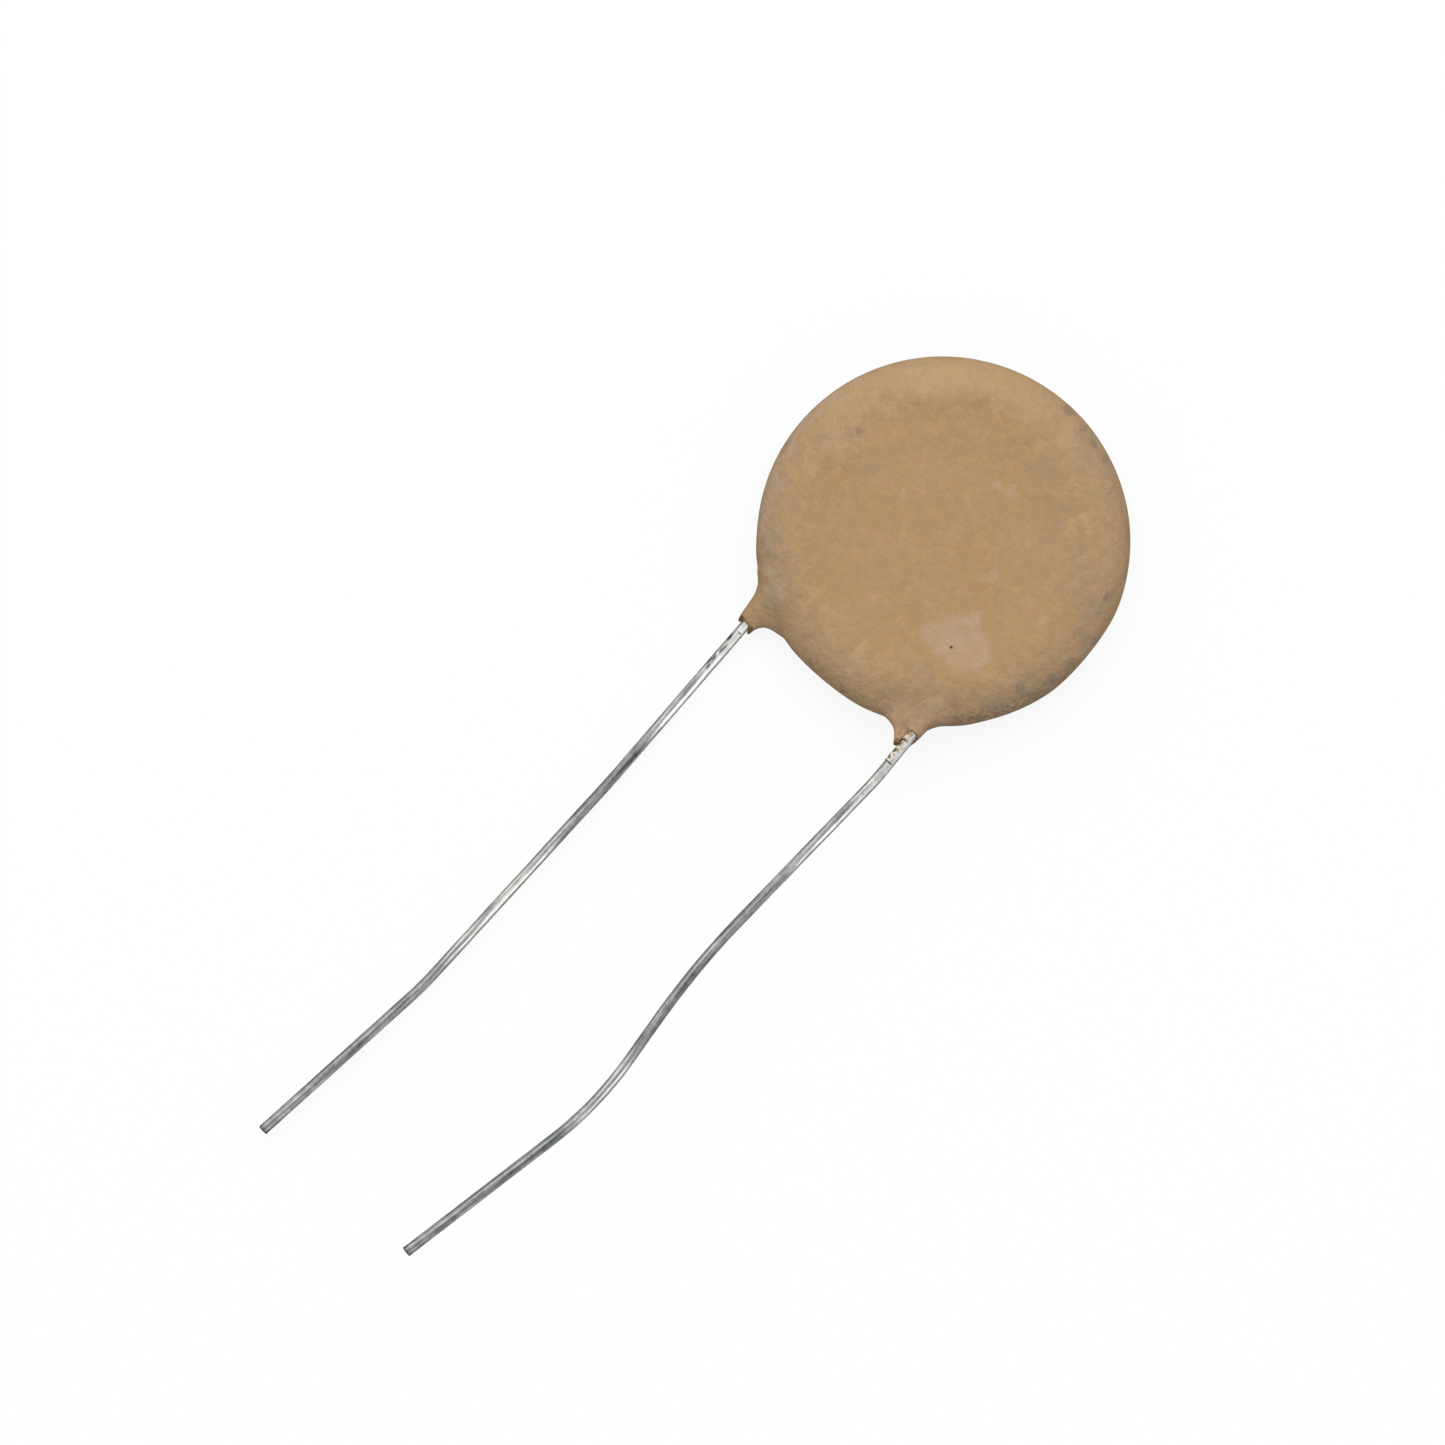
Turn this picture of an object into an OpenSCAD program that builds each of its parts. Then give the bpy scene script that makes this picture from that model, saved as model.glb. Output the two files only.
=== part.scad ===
// Ceramic disc capacitor with two radial wire leads, dipped in a matt resin coating.
//
// The body lies on its back face at z = 0. The disc is centred on the Z axis, the leads
// run towards -Y, and +X points from the left lead to the right one. The left lead is
// soldered to the lower face of the ceramic, the right lead to the upper face, and the
// two cross over the disc as formed leads do when they grip it for soldering.

/* [Ceramic disc] */
// Diameter of the fired ceramic disc
ceramic_d = 16.6; // [14:0.1:20]
// Thickness of the ceramic disc
ceramic_t = 1.6; // [1.2:0.1:1.9]
// Thickness of the silver fired on to each face
electrode_t = 0.03; // [0.02:0.01:0.08]
// Bare ceramic between the silver and the edge of the disc
electrode_margin = 1; // [0.4:0.1:2]

/* [Leads] */
// Diameter of the tinned wire
lead_d = 0.51; // [0.4:0.01:0.7]
// Distance between the two leads where they leave the body
lead_pitch = 9.6; // [7:0.1:11]
// Length of each wire from its inner bend to its tip
lead_len = 37; // [34:0.5:60]
// Straight wire held by the coating before it passes the rim
lead_cover = 1.3; // [0.8:0.1:2]
// Length of the wire that lies across the face of the disc
inner_run = 10; // [7:0.1:11]
// Angle at which the wire crosses the face of the disc
cross_angle = 30; // [10:1:35]
// Radius of the bend between the crossing wire and the straight one
inner_bend_r = 1.5; // [1:0.1:3]

/* [Left lead, bends from the body outwards] */
// Straight length before each bend
left_runs = [2, 9.8, 12.4]; // [1:0.1:14]
// Angle of each bend, positive to the left
left_turns = [1.6, 1.6, 5.5]; // [-20:0.1:20]
// Radius of each bend
left_radii = [20, 30, 18]; // [5:1:40]

/* [Right lead, bends from the body outwards] */
// Straight length before each bend
right_runs = [4.2, 8.8, 2.6]; // [1:0.1:14]
// Angle of each bend, positive to the left
right_turns = [4.8, -8.6, 17]; // [-20:0.1:20]
// Radius of each bend
right_radii = [14, 40, 18]; // [5:1:40]

/* [Solder] */
// Solder film between each wire and the silver
film_t = 0.03; // [0.02:0.01:0.1]
// Width of the solder bead on the silver
bead_w = 1.7; // [1.2:0.1:3]
// Height of the solder bead above the silver
bead_h = 0.42; // [0.2:0.01:0.5]
// Length of the solder bead along the wire, without its round ends
bead_len = 6; // [2:0.1:6.5]

/* [Coating] */
// Coating over the wires, which sets the flat faces
skin_t = 0.43; // [0.3:0.01:1]
// Coating outside the edge of the ceramic
rim_wall = 0.7; // [0.5:0.1:1.2]
// Width of the rounded band between the flat face and the rim, seen from above
shoulder_w = 2.3; // [1.9:0.1:3]
// Radius of the rim at its outermost edge
nose_r = 1.2; // [1:0.05:1.35]

/* [Coating legs that run down the leads] */
// Coating round each wire at the end of its leg
sleeve_t = 0.16; // [0.1:0.01:0.3]
// Length of the left leg beyond the rim
left_leg_len = 1.7; // [1:0.05:2.4]
// Length of the right leg beyond the rim
right_leg_len = 1.25; // [1:0.05:2.4]
// Extra length of each leg, left then right, on its inner side
leg_inner_extra = [0.08, 0.18]; // [0:0.01:0.3]
// Extra length of each leg, left then right, on its underside
leg_under_extra = [0.25, 0.5]; // [0:0.05:0.6]
// Spread of a leg's foot towards the middle of the rim
foot_inner = 1.7; // [1:0.1:2.2]
// Spread of a leg's foot away from the middle of the rim
foot_outer = 1.2; // [0.8:0.1:1.5]

/* [Hidden] */
$fn = 96;

LEFT = -1;
RIGHT = 1;
UNDER = -1;
OVER = 1;
X = 0;
Y = 1;
Z = 2;

// Stack from the middle plane of the ceramic to the flat face of the coating
face_z = ceramic_t / 2;
silver_z = face_z + electrode_t;
lead_z = silver_z + film_t + lead_d / 2;
half_t = lead_z + lead_d / 2 + skin_t;

// Outline of the coating in plan and in section
body_r = ceramic_d / 2 + rim_wall;
flat_r = body_r - shoulder_w;
nose_x = body_r - nose_r;
shoulder_r = (pow(nose_x - flat_r, 2) + pow(half_t, 2) - pow(nose_r, 2)) / (2 * (half_t - nose_r));
blend_z = nose_r * (shoulder_r - half_t) / (shoulder_r - nose_r);
blend_x = nose_x + nose_r * (nose_x - flat_r) / (shoulder_r - nose_r);

// Where the leads pass the rim, and where they straighten inside it
lead_x = lead_pitch / 2;
exit_y = sqrt(pow(body_r, 2) - pow(lead_x, 2));
neck_y = exit_y - lead_cover;

// Each straight run bites into the bends next to it, which are a hair thicker
joint_bite = 0.02;
bend_swell = 0.002;
bend_d = lead_d + bend_swell;
bend_fn = 360;

// Solder bead: a round bar sunk in the silver until the bead's width and height are left
bead_r = (pow(bead_h, 2) + pow(bead_w / 2, 2)) / (2 * bead_h);
bead_sink = bead_r - bead_h;

// Legs: ribs round each wire, points along a rib, and how its foot sits in the rim
LEG_RIBS = 32;
RIB_STEPS = 8;
sleeve_r = lead_d / 2 + sleeve_t;
foot_level = 0.35 * lead_z;
foot_high = lead_z + sleeve_r;
foot_low = -0.6 * lead_z;
foot_sink = 0.05;
root_depth = 0.9;
root_share = 0.45;

// Sum of a list
function total(v, i = 0) = i < len(v) ? v[i] + total(v, i + 1) : 0;

// Wire length taken by the bends of a lead
function bend_length(turns, radii) = total([for (i = [0:len(turns) - 1]) PI * radii[i] * abs(turns[i]) / 180]);

// Last straight run of a lead, up to its tip
function tail_run(runs, turns, radii) = lead_len - total(runs) - bend_length(turns, radii);

// Plan radius of the coating at a height z from its middle plane
function rim_r(z) = abs(z) < blend_z
    ? nose_x + sqrt(pow(nose_r, 2) - pow(z, 2))
    : flat_r + sqrt(pow(shoulder_r, 2) - pow(abs(z) - half_t + shoulder_r, 2));

// The y at which the lower edge of the coating passes x at the height z
function rim_y(x, z) = -sqrt(pow(rim_r(z), 2) - pow(x, 2));

// Point on a curve with one control point, t from 0 to 1
function curve(a, b, c, t) = pow(1 - t, 2) * a + 2 * t * (1 - t) * b + pow(t, 2) * c;

// Everything is drawn about the middle plane and then set down on the back face
module seated() {
    translate([0, 0, half_t]) children();
}

// Draws its children over or under the ceramic
module on_side(face) {
    if (face == UNDER) mirror([0, 0, 1]) children();
    else children();
}

// Draws its children at the place of the right lead, or mirrored for the left one
module at_hand(hand) {
    if (hand == LEFT) mirror([1, 0, 0]) children();
    else children();
}

// ---- Ceramic and silver ----

module ceramic_disc() {
    color("#d9c7a3") seated() cylinder(d = ceramic_d, h = ceramic_t, center = true);
}

module electrode(face) {
    color("#dcdcd6") seated() on_side(face)
        translate([0, 0, face_z]) cylinder(r = ceramic_d / 2 - electrode_margin, h = electrode_t);
}

module upper_electrode() {
    electrode(OVER);
}

module lower_electrode() {
    electrode(UNDER);
}

// ---- Leads ----

// Straight wire along -Y from the origin, with a bite into the bend before it and after it
module wire_run(length, end_bite = joint_bite) {
    translate([0, joint_bite, 0]) rotate([90, 0, 0])
        cylinder(d = lead_d, h = joint_bite + length + end_bite);
}

// Bend that starts at the origin towards -Y, and turns towards -X if turn is positive
module wire_bend(turn, radius) {
    side = turn > 0 ? -1 : 1;
    translate([side * radius, 0, 0]) rotate([0, 0, turn > 0 ? -turn : 180])
        rotate_extrude(angle = abs(turn), $fn = bend_fn) translate([radius, 0]) circle(d = bend_d);
}

// Draws its children where such a bend ends, in the direction that it ends in
module after_bend(turn, radius) {
    side = turn > 0 ? -1 : 1;
    translate([side * radius * (1 - cos(turn)), -radius * sin(abs(turn)), 0])
        rotate([0, 0, -turn]) children();
}

// Wire outside the body: each straight run with the bend after it, and then the tail
module formed_wire(runs, turns, radii, i = 0) {
    if (i == len(runs)) wire_run(tail_run(runs, turns, radii), end_bite = 0);
    else {
        wire_run(runs[i]);
        translate([0, -runs[i], 0]) {
            wire_bend(turns[i], radii[i]);
            after_bend(turns[i], radii[i]) formed_wire(runs, turns, radii, i + 1);
        }
    }
}

// Draws its children at the start of the right lead's crossing run, which points along +Y
module at_inner_run() {
    translate([lead_x, -neck_y, lead_z]) rotate([0, 0, 180]) after_bend(-cross_angle, inner_bend_r)
        rotate([0, 0, 180]) children();
}

// Wire inside the body: the bend next to the rim and the run across the face
module inner_wire() {
    translate([lead_x, -neck_y, lead_z]) rotate([0, 0, 180]) wire_bend(-cross_angle, inner_bend_r);
    at_inner_run() rotate([0, 0, 180]) wire_run(inner_run, end_bite = 0);
}

module lead(hand, face, runs, turns, radii) {
    color("#c9cbc8") seated() {
        at_hand(hand) on_side(face) inner_wire();
        translate([hand * lead_x, -neck_y, face * lead_z]) formed_wire(runs, turns, radii);
    }
}

module left_lead() {
    lead(LEFT, UNDER, left_runs, left_turns, left_radii);
}

module right_lead() {
    lead(RIGHT, OVER, right_runs, right_turns, right_radii);
}

// ---- Solder ----

// Bead along the middle of the crossing run, cut off flat on the silver
module bead() {
    below = 2 * bead_r;
    intersection() {
        at_inner_run() translate([0, (inner_run - bead_len) / 2, -lead_z + silver_z - bead_sink]) {
            rotate([-90, 0, 0]) cylinder(r = bead_r, h = bead_len);
            sphere(r = bead_r);
            translate([0, bead_len, 0]) sphere(r = bead_r);
        }
        translate([0, 0, silver_z]) cylinder(d = ceramic_d, h = below);
    }
}

module solder(hand, face) {
    color("#b9bcbc") difference() {
        seated() at_hand(hand) on_side(face) bead();
        seated() at_hand(hand) on_side(face) inner_wire();
    }
}

module upper_solder() {
    solder(RIGHT, OVER);
}

module lower_solder() {
    solder(LEFT, UNDER);
}

// ---- Coating ----

// Corner of the half section that is cut away outside an arc, from low to high above the middle
module outside_arc(x, z, radius, low, high) {
    difference() {
        translate([x, low]) square([body_r - x, high - low]);
        translate([x, z]) circle(r = radius);
    }
}

// Half section of the dipped body: flat faces, a wide shoulder arc and a tighter nose arc
module body_section() {
    difference() {
        translate([0, -half_t]) square([body_r, 2 * half_t]);
        for (face = [UNDER, OVER]) mirror([0, face == UNDER ? 1 : 0]) {
            outside_arc(flat_r, half_t - shoulder_r, shoulder_r, blend_z, half_t);
            outside_arc(nose_x, 0, nose_r, 0, blend_z);
        }
    }
}

// A rib starts in the rim at the foot of the leg, hollows in like a fillet and ends on the
// sleeve round the wire. Its foot is placed by a direction round the wire, where 0 points
// away from the middle of the rim, 90 up and 180 towards the middle.
function foot_point(hand, face, dir) = let (
        spread = cos(dir) > 0 ? foot_outer : foot_inner,
        outside = face * sin(dir) > 0,
        x = hand * (lead_x + spread * cos(dir)),
        z = face * foot_level + sin(dir) * (outside ? foot_high - foot_level : foot_level - foot_low)
    ) [x, rim_y(x, z) + foot_sink, z];

function sleeve_point(hand, face, dir, leg_len, inner_extra, under_extra) = [
    hand * (lead_x + sleeve_r * cos(dir)),
    -exit_y - leg_len + inner_extra * cos(dir) + under_extra * sin(dir),
    face * lead_z + sleeve_r * sin(dir)
];

// Corner that a rib bends round: on the sleeve's line, level with the foot or below it
function rib_corner(foot, sleeve) = [
    sleeve[X],
    foot[Y] - max(0, foot[X] / -foot[Y] * (foot[X] - sleeve[X])),
    sleeve[Z]
];

function rib(hand, face, foot, sleeve) = concat(
    [[hand * lead_x, foot[Y] + root_depth, face * foot_level]
        + root_share * [foot[X] - hand * lead_x, 0, foot[Z] - face * foot_level]],
    [for (i = [0:RIB_STEPS]) curve(foot, rib_corner(foot, sleeve), sleeve, i / RIB_STEPS)]
);

// Closed skin over the ribs, with a cap inside the rim and a flat cut end on the sleeve
module leg(hand, face, leg_len, inner_extra, under_extra) {
    ribs = [for (k = [0:LEG_RIBS - 1]) let (dir = 360 * k / LEG_RIBS)
        rib(hand, face, foot_point(hand, face, dir),
            sleeve_point(hand, face, dir, leg_len, inner_extra, under_extra))];
    rows = len(ribs[0]);
    root = [hand * lead_x, -neck_y + root_depth, face * foot_level];
    tip = [hand * lead_x, -exit_y - leg_len, face * lead_z];
    points = concat([for (one = ribs) for (p = one) p], [root, tip]);
    root_at = LEG_RIBS * rows;
    tip_at = root_at + 1;
    faces = [for (k = [0:LEG_RIBS - 1]) let (a = k * rows, b = (k + 1) % LEG_RIBS * rows) each concat(
        [[root_at, a, b], [tip_at, b + rows - 1, a + rows - 1]],
        [for (i = [0:rows - 2]) each [[a + i, a + i + 1, b + i], [b + i, a + i + 1, b + i + 1]]]
    )];
    polyhedron(points = points, faces = hand == RIGHT ? faces : [for (f = faces) [f[2], f[1], f[0]]]);
}

module coating() {
    color("#b1906a") difference() {
        seated() {
            rotate_extrude() body_section();
            leg(LEFT, UNDER, left_leg_len, leg_inner_extra[0], leg_under_extra[0]);
            leg(RIGHT, OVER, right_leg_len, leg_inner_extra[1], leg_under_extra[1]);
        }
        ceramic_disc();
        upper_electrode();
        lower_electrode();
        upper_solder();
        lower_solder();
        left_lead();
        right_lead();
    }
}

coating();
ceramic_disc();
upper_electrode();
lower_electrode();
upper_solder();
lower_solder();
left_lead();
right_lead();
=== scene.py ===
"""Looks for a ceramic disc capacitor: a matt dipped disc on two formed, tinned copper leads.

Every piece is shaped on a bench where one unit is one millimetre, in the frame of the solids
(the back face at z = 0, the leads towards -Y), and is shrunk to metres when it is finished.
"""

import logging
import math
from dataclasses import dataclass, field
from enum import Enum

import bpy
import numpy as np
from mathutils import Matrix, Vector, noise


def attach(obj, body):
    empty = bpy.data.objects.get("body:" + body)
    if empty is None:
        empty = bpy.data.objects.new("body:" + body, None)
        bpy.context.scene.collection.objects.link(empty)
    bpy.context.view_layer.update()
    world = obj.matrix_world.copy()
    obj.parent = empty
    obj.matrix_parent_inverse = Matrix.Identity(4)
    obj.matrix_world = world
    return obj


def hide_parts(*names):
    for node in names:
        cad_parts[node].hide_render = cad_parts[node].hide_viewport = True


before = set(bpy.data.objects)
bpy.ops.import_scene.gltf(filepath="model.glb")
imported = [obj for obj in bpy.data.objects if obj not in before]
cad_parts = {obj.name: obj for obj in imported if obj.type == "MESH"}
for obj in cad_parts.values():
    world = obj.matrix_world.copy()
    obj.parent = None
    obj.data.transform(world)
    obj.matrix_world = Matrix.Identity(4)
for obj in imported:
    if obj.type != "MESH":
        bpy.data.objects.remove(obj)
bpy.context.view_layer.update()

LOG = logging.getLogger("capacitor")
MM = 0.001

# Sockets of the Mix node when it mixes colours
MIX_A, MIX_B, MIX_OUT = 6, 7, 2
# The range that most values of a noise texture lie in
NOISE_LOW, NOISE_HIGH = 0.3, 0.7

# The sizes that several pieces share, in millimetres. A lead's middle lies LEAD_DEPTH inside the
# face that it runs along
THICK = 3.6
WIRE_R = 0.255
PITCH = 9.6
LEAD_DEPTH = 0.685
# Vertices nearer than this are one
MERGE = 1e-4

# X, Y and Z of a place, a turn or a scale, or a circle's middle and radius
Triple = tuple[float, float, float]
# Where something begins along one measure, and where it is there in full
Band = tuple[float, float]


class Hand(Enum):
    """The lead or leg on one side of the disc, with the sign of its X."""

    LEFT = -1
    RIGHT = 1

    def lead_height(self) -> float:
        """Gives the height of this side's lead, which is low on the left and high on the right."""
        return LEAD_DEPTH if self is Hand.LEFT else THICK - LEAD_DEPTH


class Face(Enum):
    """A face of the disc, with the sign of its Z seen from the middle plane."""

    UNDER = -1
    OVER = 1


class PaintedShine(Enum):
    """How bright the reflection painted on one side of a stretch of wire is."""

    HARD = 0.96
    LIGHT = 0.83
    DIM = 0.63
    DIMMEST = 0.48


# ---- Small tools ----


def linear(colour: str) -> tuple[float, float, float, float]:
    """Turns an sRGB hex colour to the linear values that a socket takes.

    Args:
        colour: Six hex digits after a hash sign.

    Returns:
        Red, green, blue and an alpha of one.
    """
    parts = [int(colour[i:i + 2], 16) / 255 for i in (1, 3, 5)]
    red, green, blue = (c / 12.92 if c <= 0.04045 else ((c + 0.055) / 1.055) ** 2.4 for c in parts)
    return red, green, blue, 1.0


def add_node(tree: bpy.types.NodeTree, kind: str, inputs: dict | None = None,
             **settings: object) -> bpy.types.Node:
    """Adds one node with its settings, values and links.

    Args:
        tree: The node tree that the node goes into.
        kind: The node's type name.
        inputs: A value or an output socket for each input, by the input's name or number.
        **settings: Properties of the node itself.

    Returns:
        The new node.
    """
    node = tree.nodes.new(kind)
    for name, value in settings.items():
        setattr(node, name, value)
    for socket, value in (inputs or {}).items():
        if isinstance(value, bpy.types.NodeSocket):
            tree.links.new(value, node.inputs[socket])
        else:
            node.inputs[socket].default_value = value
    return node


def backdrop_rays(tree: bpy.types.NodeTree) -> bpy.types.NodeSocket:
    """Gives 1 on the rays that show the background, straight, in metal or through glass, or else 0.

    Args:
        tree: The node tree of the floor or the world.

    Returns:
        The socket that gives it.
    """
    path = add_node(tree, "ShaderNodeLightPath")
    seen = add_node(tree, "ShaderNodeMath", {0: path.outputs["Is Camera Ray"],
                                             1: path.outputs["Is Glossy Ray"]}, operation="MAXIMUM")
    return add_node(tree, "ShaderNodeMath", {0: seen.outputs[0], 1: path.outputs["Is Transmission Ray"]},
                    operation="MAXIMUM").outputs[0]


def place_in_mm(tree: bpy.types.NodeTree) -> bpy.types.NodeSocket:
    """Gives the place on the object in millimetres, so that patterns take real sizes.

    Args:
        tree: A material's node tree.

    Returns:
        The socket that gives it.
    """
    where = add_node(tree, "ShaderNodeTexCoord")
    scale = (1 / MM, 1 / MM, 1 / MM)
    return add_node(tree, "ShaderNodeMapping", {0: where.outputs["Object"], 3: scale}).outputs[0]


def new_material(name: str) -> tuple[bpy.types.Material, bpy.types.NodeTree]:
    """Starts an empty node material.

    Args:
        name: What the material is.

    Returns:
        The material and its node tree.
    """
    material = bpy.data.materials.new(name)
    material.use_nodes = True
    material.node_tree.nodes.clear()
    return material, material.node_tree


def smooth_step(values: np.ndarray, low: float, high: float) -> np.ndarray:
    """Goes smoothly from 0 at low to 1 at high, which may be the smaller of the two."""
    share = np.clip((values - low) / (high - low), 0, 1)
    return share * share * (3 - 2 * share)


def lumps(places: np.ndarray, size: float, seed: float = 0.0) -> np.ndarray:
    """Gives smooth noise at each place.

    Args:
        places: One row of x, y and z for each place, in millimetres.
        size: Rough width of the lumps.
        seed: Moves the pattern, so that no two uses match.

    Returns:
        One value from -1 to 1 for each place.
    """
    return np.array([noise.noise((p[0] / size + seed, p[1] / size - seed, p[2] / size + 2 * seed))
                     for p in places])


def drop_selection() -> None:
    """Leaves edit mode with nothing selected, since the frame's nodes come in selected."""
    if bpy.context.object and bpy.context.object.mode != "OBJECT":
        bpy.ops.object.mode_set(mode="OBJECT")
    bpy.ops.object.select_all(action="DESELECT")


def take(piece: bpy.types.Object) -> None:
    """Makes one piece the only selected piece, and the active one, in object mode.

    Args:
        piece: The piece.
    """
    drop_selection()
    piece.select_set(True)
    bpy.context.view_layer.objects.active = piece


def edit_all() -> None:
    """Opens the active piece in edit mode with everything selected."""
    bpy.ops.object.mode_set(mode="EDIT")
    bpy.ops.mesh.select_all(action="SELECT")


def settle() -> None:
    """Takes the place, turn and scale of what is selected into its mesh."""
    bpy.ops.object.transform_apply(location=True, rotation=True, scale=True)


def start_ring(name: str, place: Triple, radius: float, sides: int, turned: Triple,
               fill: str = "NOTHING") -> bpy.types.Object:
    """Adds a ring of vertices and opens it in edit mode, all selected.

    Args:
        name: Name of the piece that grows from the ring.
        place: Centre of the ring.
        radius: Radius of the ring.
        sides: Number of its vertices.
        turned: Turn of the ring about X, Y and Z, in radians.
        fill: How the ring is filled, as Blender names it.

    Returns:
        The new piece.
    """
    drop_selection()
    bpy.ops.mesh.primitive_circle_add(vertices=sides, radius=radius, fill_type=fill,
                                      location=place, rotation=turned)
    piece = bpy.context.object
    piece.name = piece.data.name = name
    settle()
    edit_all()
    return piece


def extrude(step: Vector | Triple) -> None:
    """Extrudes what is selected and moves it by one step."""
    bpy.ops.mesh.extrude_region_move(TRANSFORM_OT_translate={"value": tuple(step)})


def close_ends(sides: int) -> None:
    """Fills the open rings of a drawn-out piece and turns all its faces outwards.

    Args:
        sides: Number of vertices in each ring.
    """
    bpy.ops.mesh.select_all(action="SELECT")
    bpy.ops.mesh.fill_holes(sides=sides)
    bpy.ops.mesh.select_all(action="SELECT")
    bpy.ops.mesh.normals_make_consistent(inside=False)
    bpy.ops.object.mode_set(mode="OBJECT")


def choose(piece: bpy.types.Object, chosen: np.ndarray) -> None:
    """Opens a piece in edit mode with some of its vertices selected, and what lies between them.

    Args:
        piece: The piece.
        chosen: Whether each vertex is selected.
    """
    take(piece)
    for parts in (piece.data.polygons, piece.data.edges):
        parts.foreach_set("select", np.zeros(len(parts), bool))
    piece.data.vertices.foreach_set("select", chosen)
    bpy.ops.object.mode_set(mode="EDIT")
    bpy.ops.mesh.select_mode(type="VERT")


def finish_with(piece: bpy.types.Object, kind: str, **settings: object) -> None:
    """Puts one modifier on a piece and applies it.

    Args:
        piece: The piece to change.
        kind: The modifier's type name.
        **settings: Properties of the modifier.
    """
    take(piece)
    step = piece.modifiers.new(kind.title(), kind)
    for name, value in settings.items():
        setattr(step, name, value)
    bpy.ops.object.modifier_apply(modifier=step.name)


def places_of(piece: bpy.types.Object) -> np.ndarray:
    """Reads where a piece's vertices are.

    Args:
        piece: The piece.

    Returns:
        A row of x, y and z for each vertex.
    """
    places = np.empty(len(piece.data.vertices) * 3, np.float32)
    piece.data.vertices.foreach_get("co", places)
    return places.reshape(-1, 3).astype(float)


def put_places(piece: bpy.types.Object, places: np.ndarray) -> None:
    """Moves a piece's vertices to where the rows say."""
    piece.data.vertices.foreach_set("co", places.astype(np.float32).ravel())
    piece.data.update()


def paint(piece: bpy.types.Object, name: str, values: np.ndarray) -> None:
    """Keeps a number or a vector for each vertex of a piece, for its material to read.

    Args:
        piece: The piece to paint.
        name: The attribute's name.
        values: One number or one row of three for each vertex.
    """
    single = values.ndim == 1
    layer = piece.data.attributes.new(name, "FLOAT" if single else "FLOAT_VECTOR", "POINT")
    layer.data.foreach_set("value" if single else "vector", values.astype(np.float32).ravel())


def bench_copy(source: bpy.types.Object, scale: float) -> bpy.types.Object:
    """Copies a piece on to the bench as a closed mesh, and leaves the piece itself alone.

    Args:
        source: The piece to copy.
        scale: What its size is multiplied by: 1 / MM for a node of the frame, 1 on the bench.

    Returns:
        The copy.
    """
    drop_selection()
    copy = bpy.data.objects.new(source.name + "_copy", source.data.copy())
    bpy.context.scene.collection.objects.link(copy)
    take(copy)
    copy.scale = (scale, scale, scale)
    settle()
    edit_all()
    bpy.ops.mesh.remove_doubles(threshold=MERGE)
    bpy.ops.object.mode_set(mode="OBJECT")
    return copy


def cut_away(piece: bpy.types.Object, cutter: bpy.types.Object) -> None:
    """Cuts one closed mesh out of another and throws the cutter away."""
    finish_with(piece, "BOOLEAN", operation="DIFFERENCE", solver="MANIFOLD", object=cutter)
    bpy.data.meshes.remove(cutter.data)


def off_the_bench(piece: bpy.types.Object, crease: float = 40) -> None:
    """Shrinks a finished piece to metres and shades it smooth but for its creases.

    Args:
        piece: The piece, in millimetres.
        crease: Angle in degrees past which an edge stays sharp.
    """
    take(piece)
    bpy.ops.object.shade_smooth_by_angle(angle=math.radians(crease))
    piece.scale = (MM, MM, MM)
    settle()


# ---- Finishes ----


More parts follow.
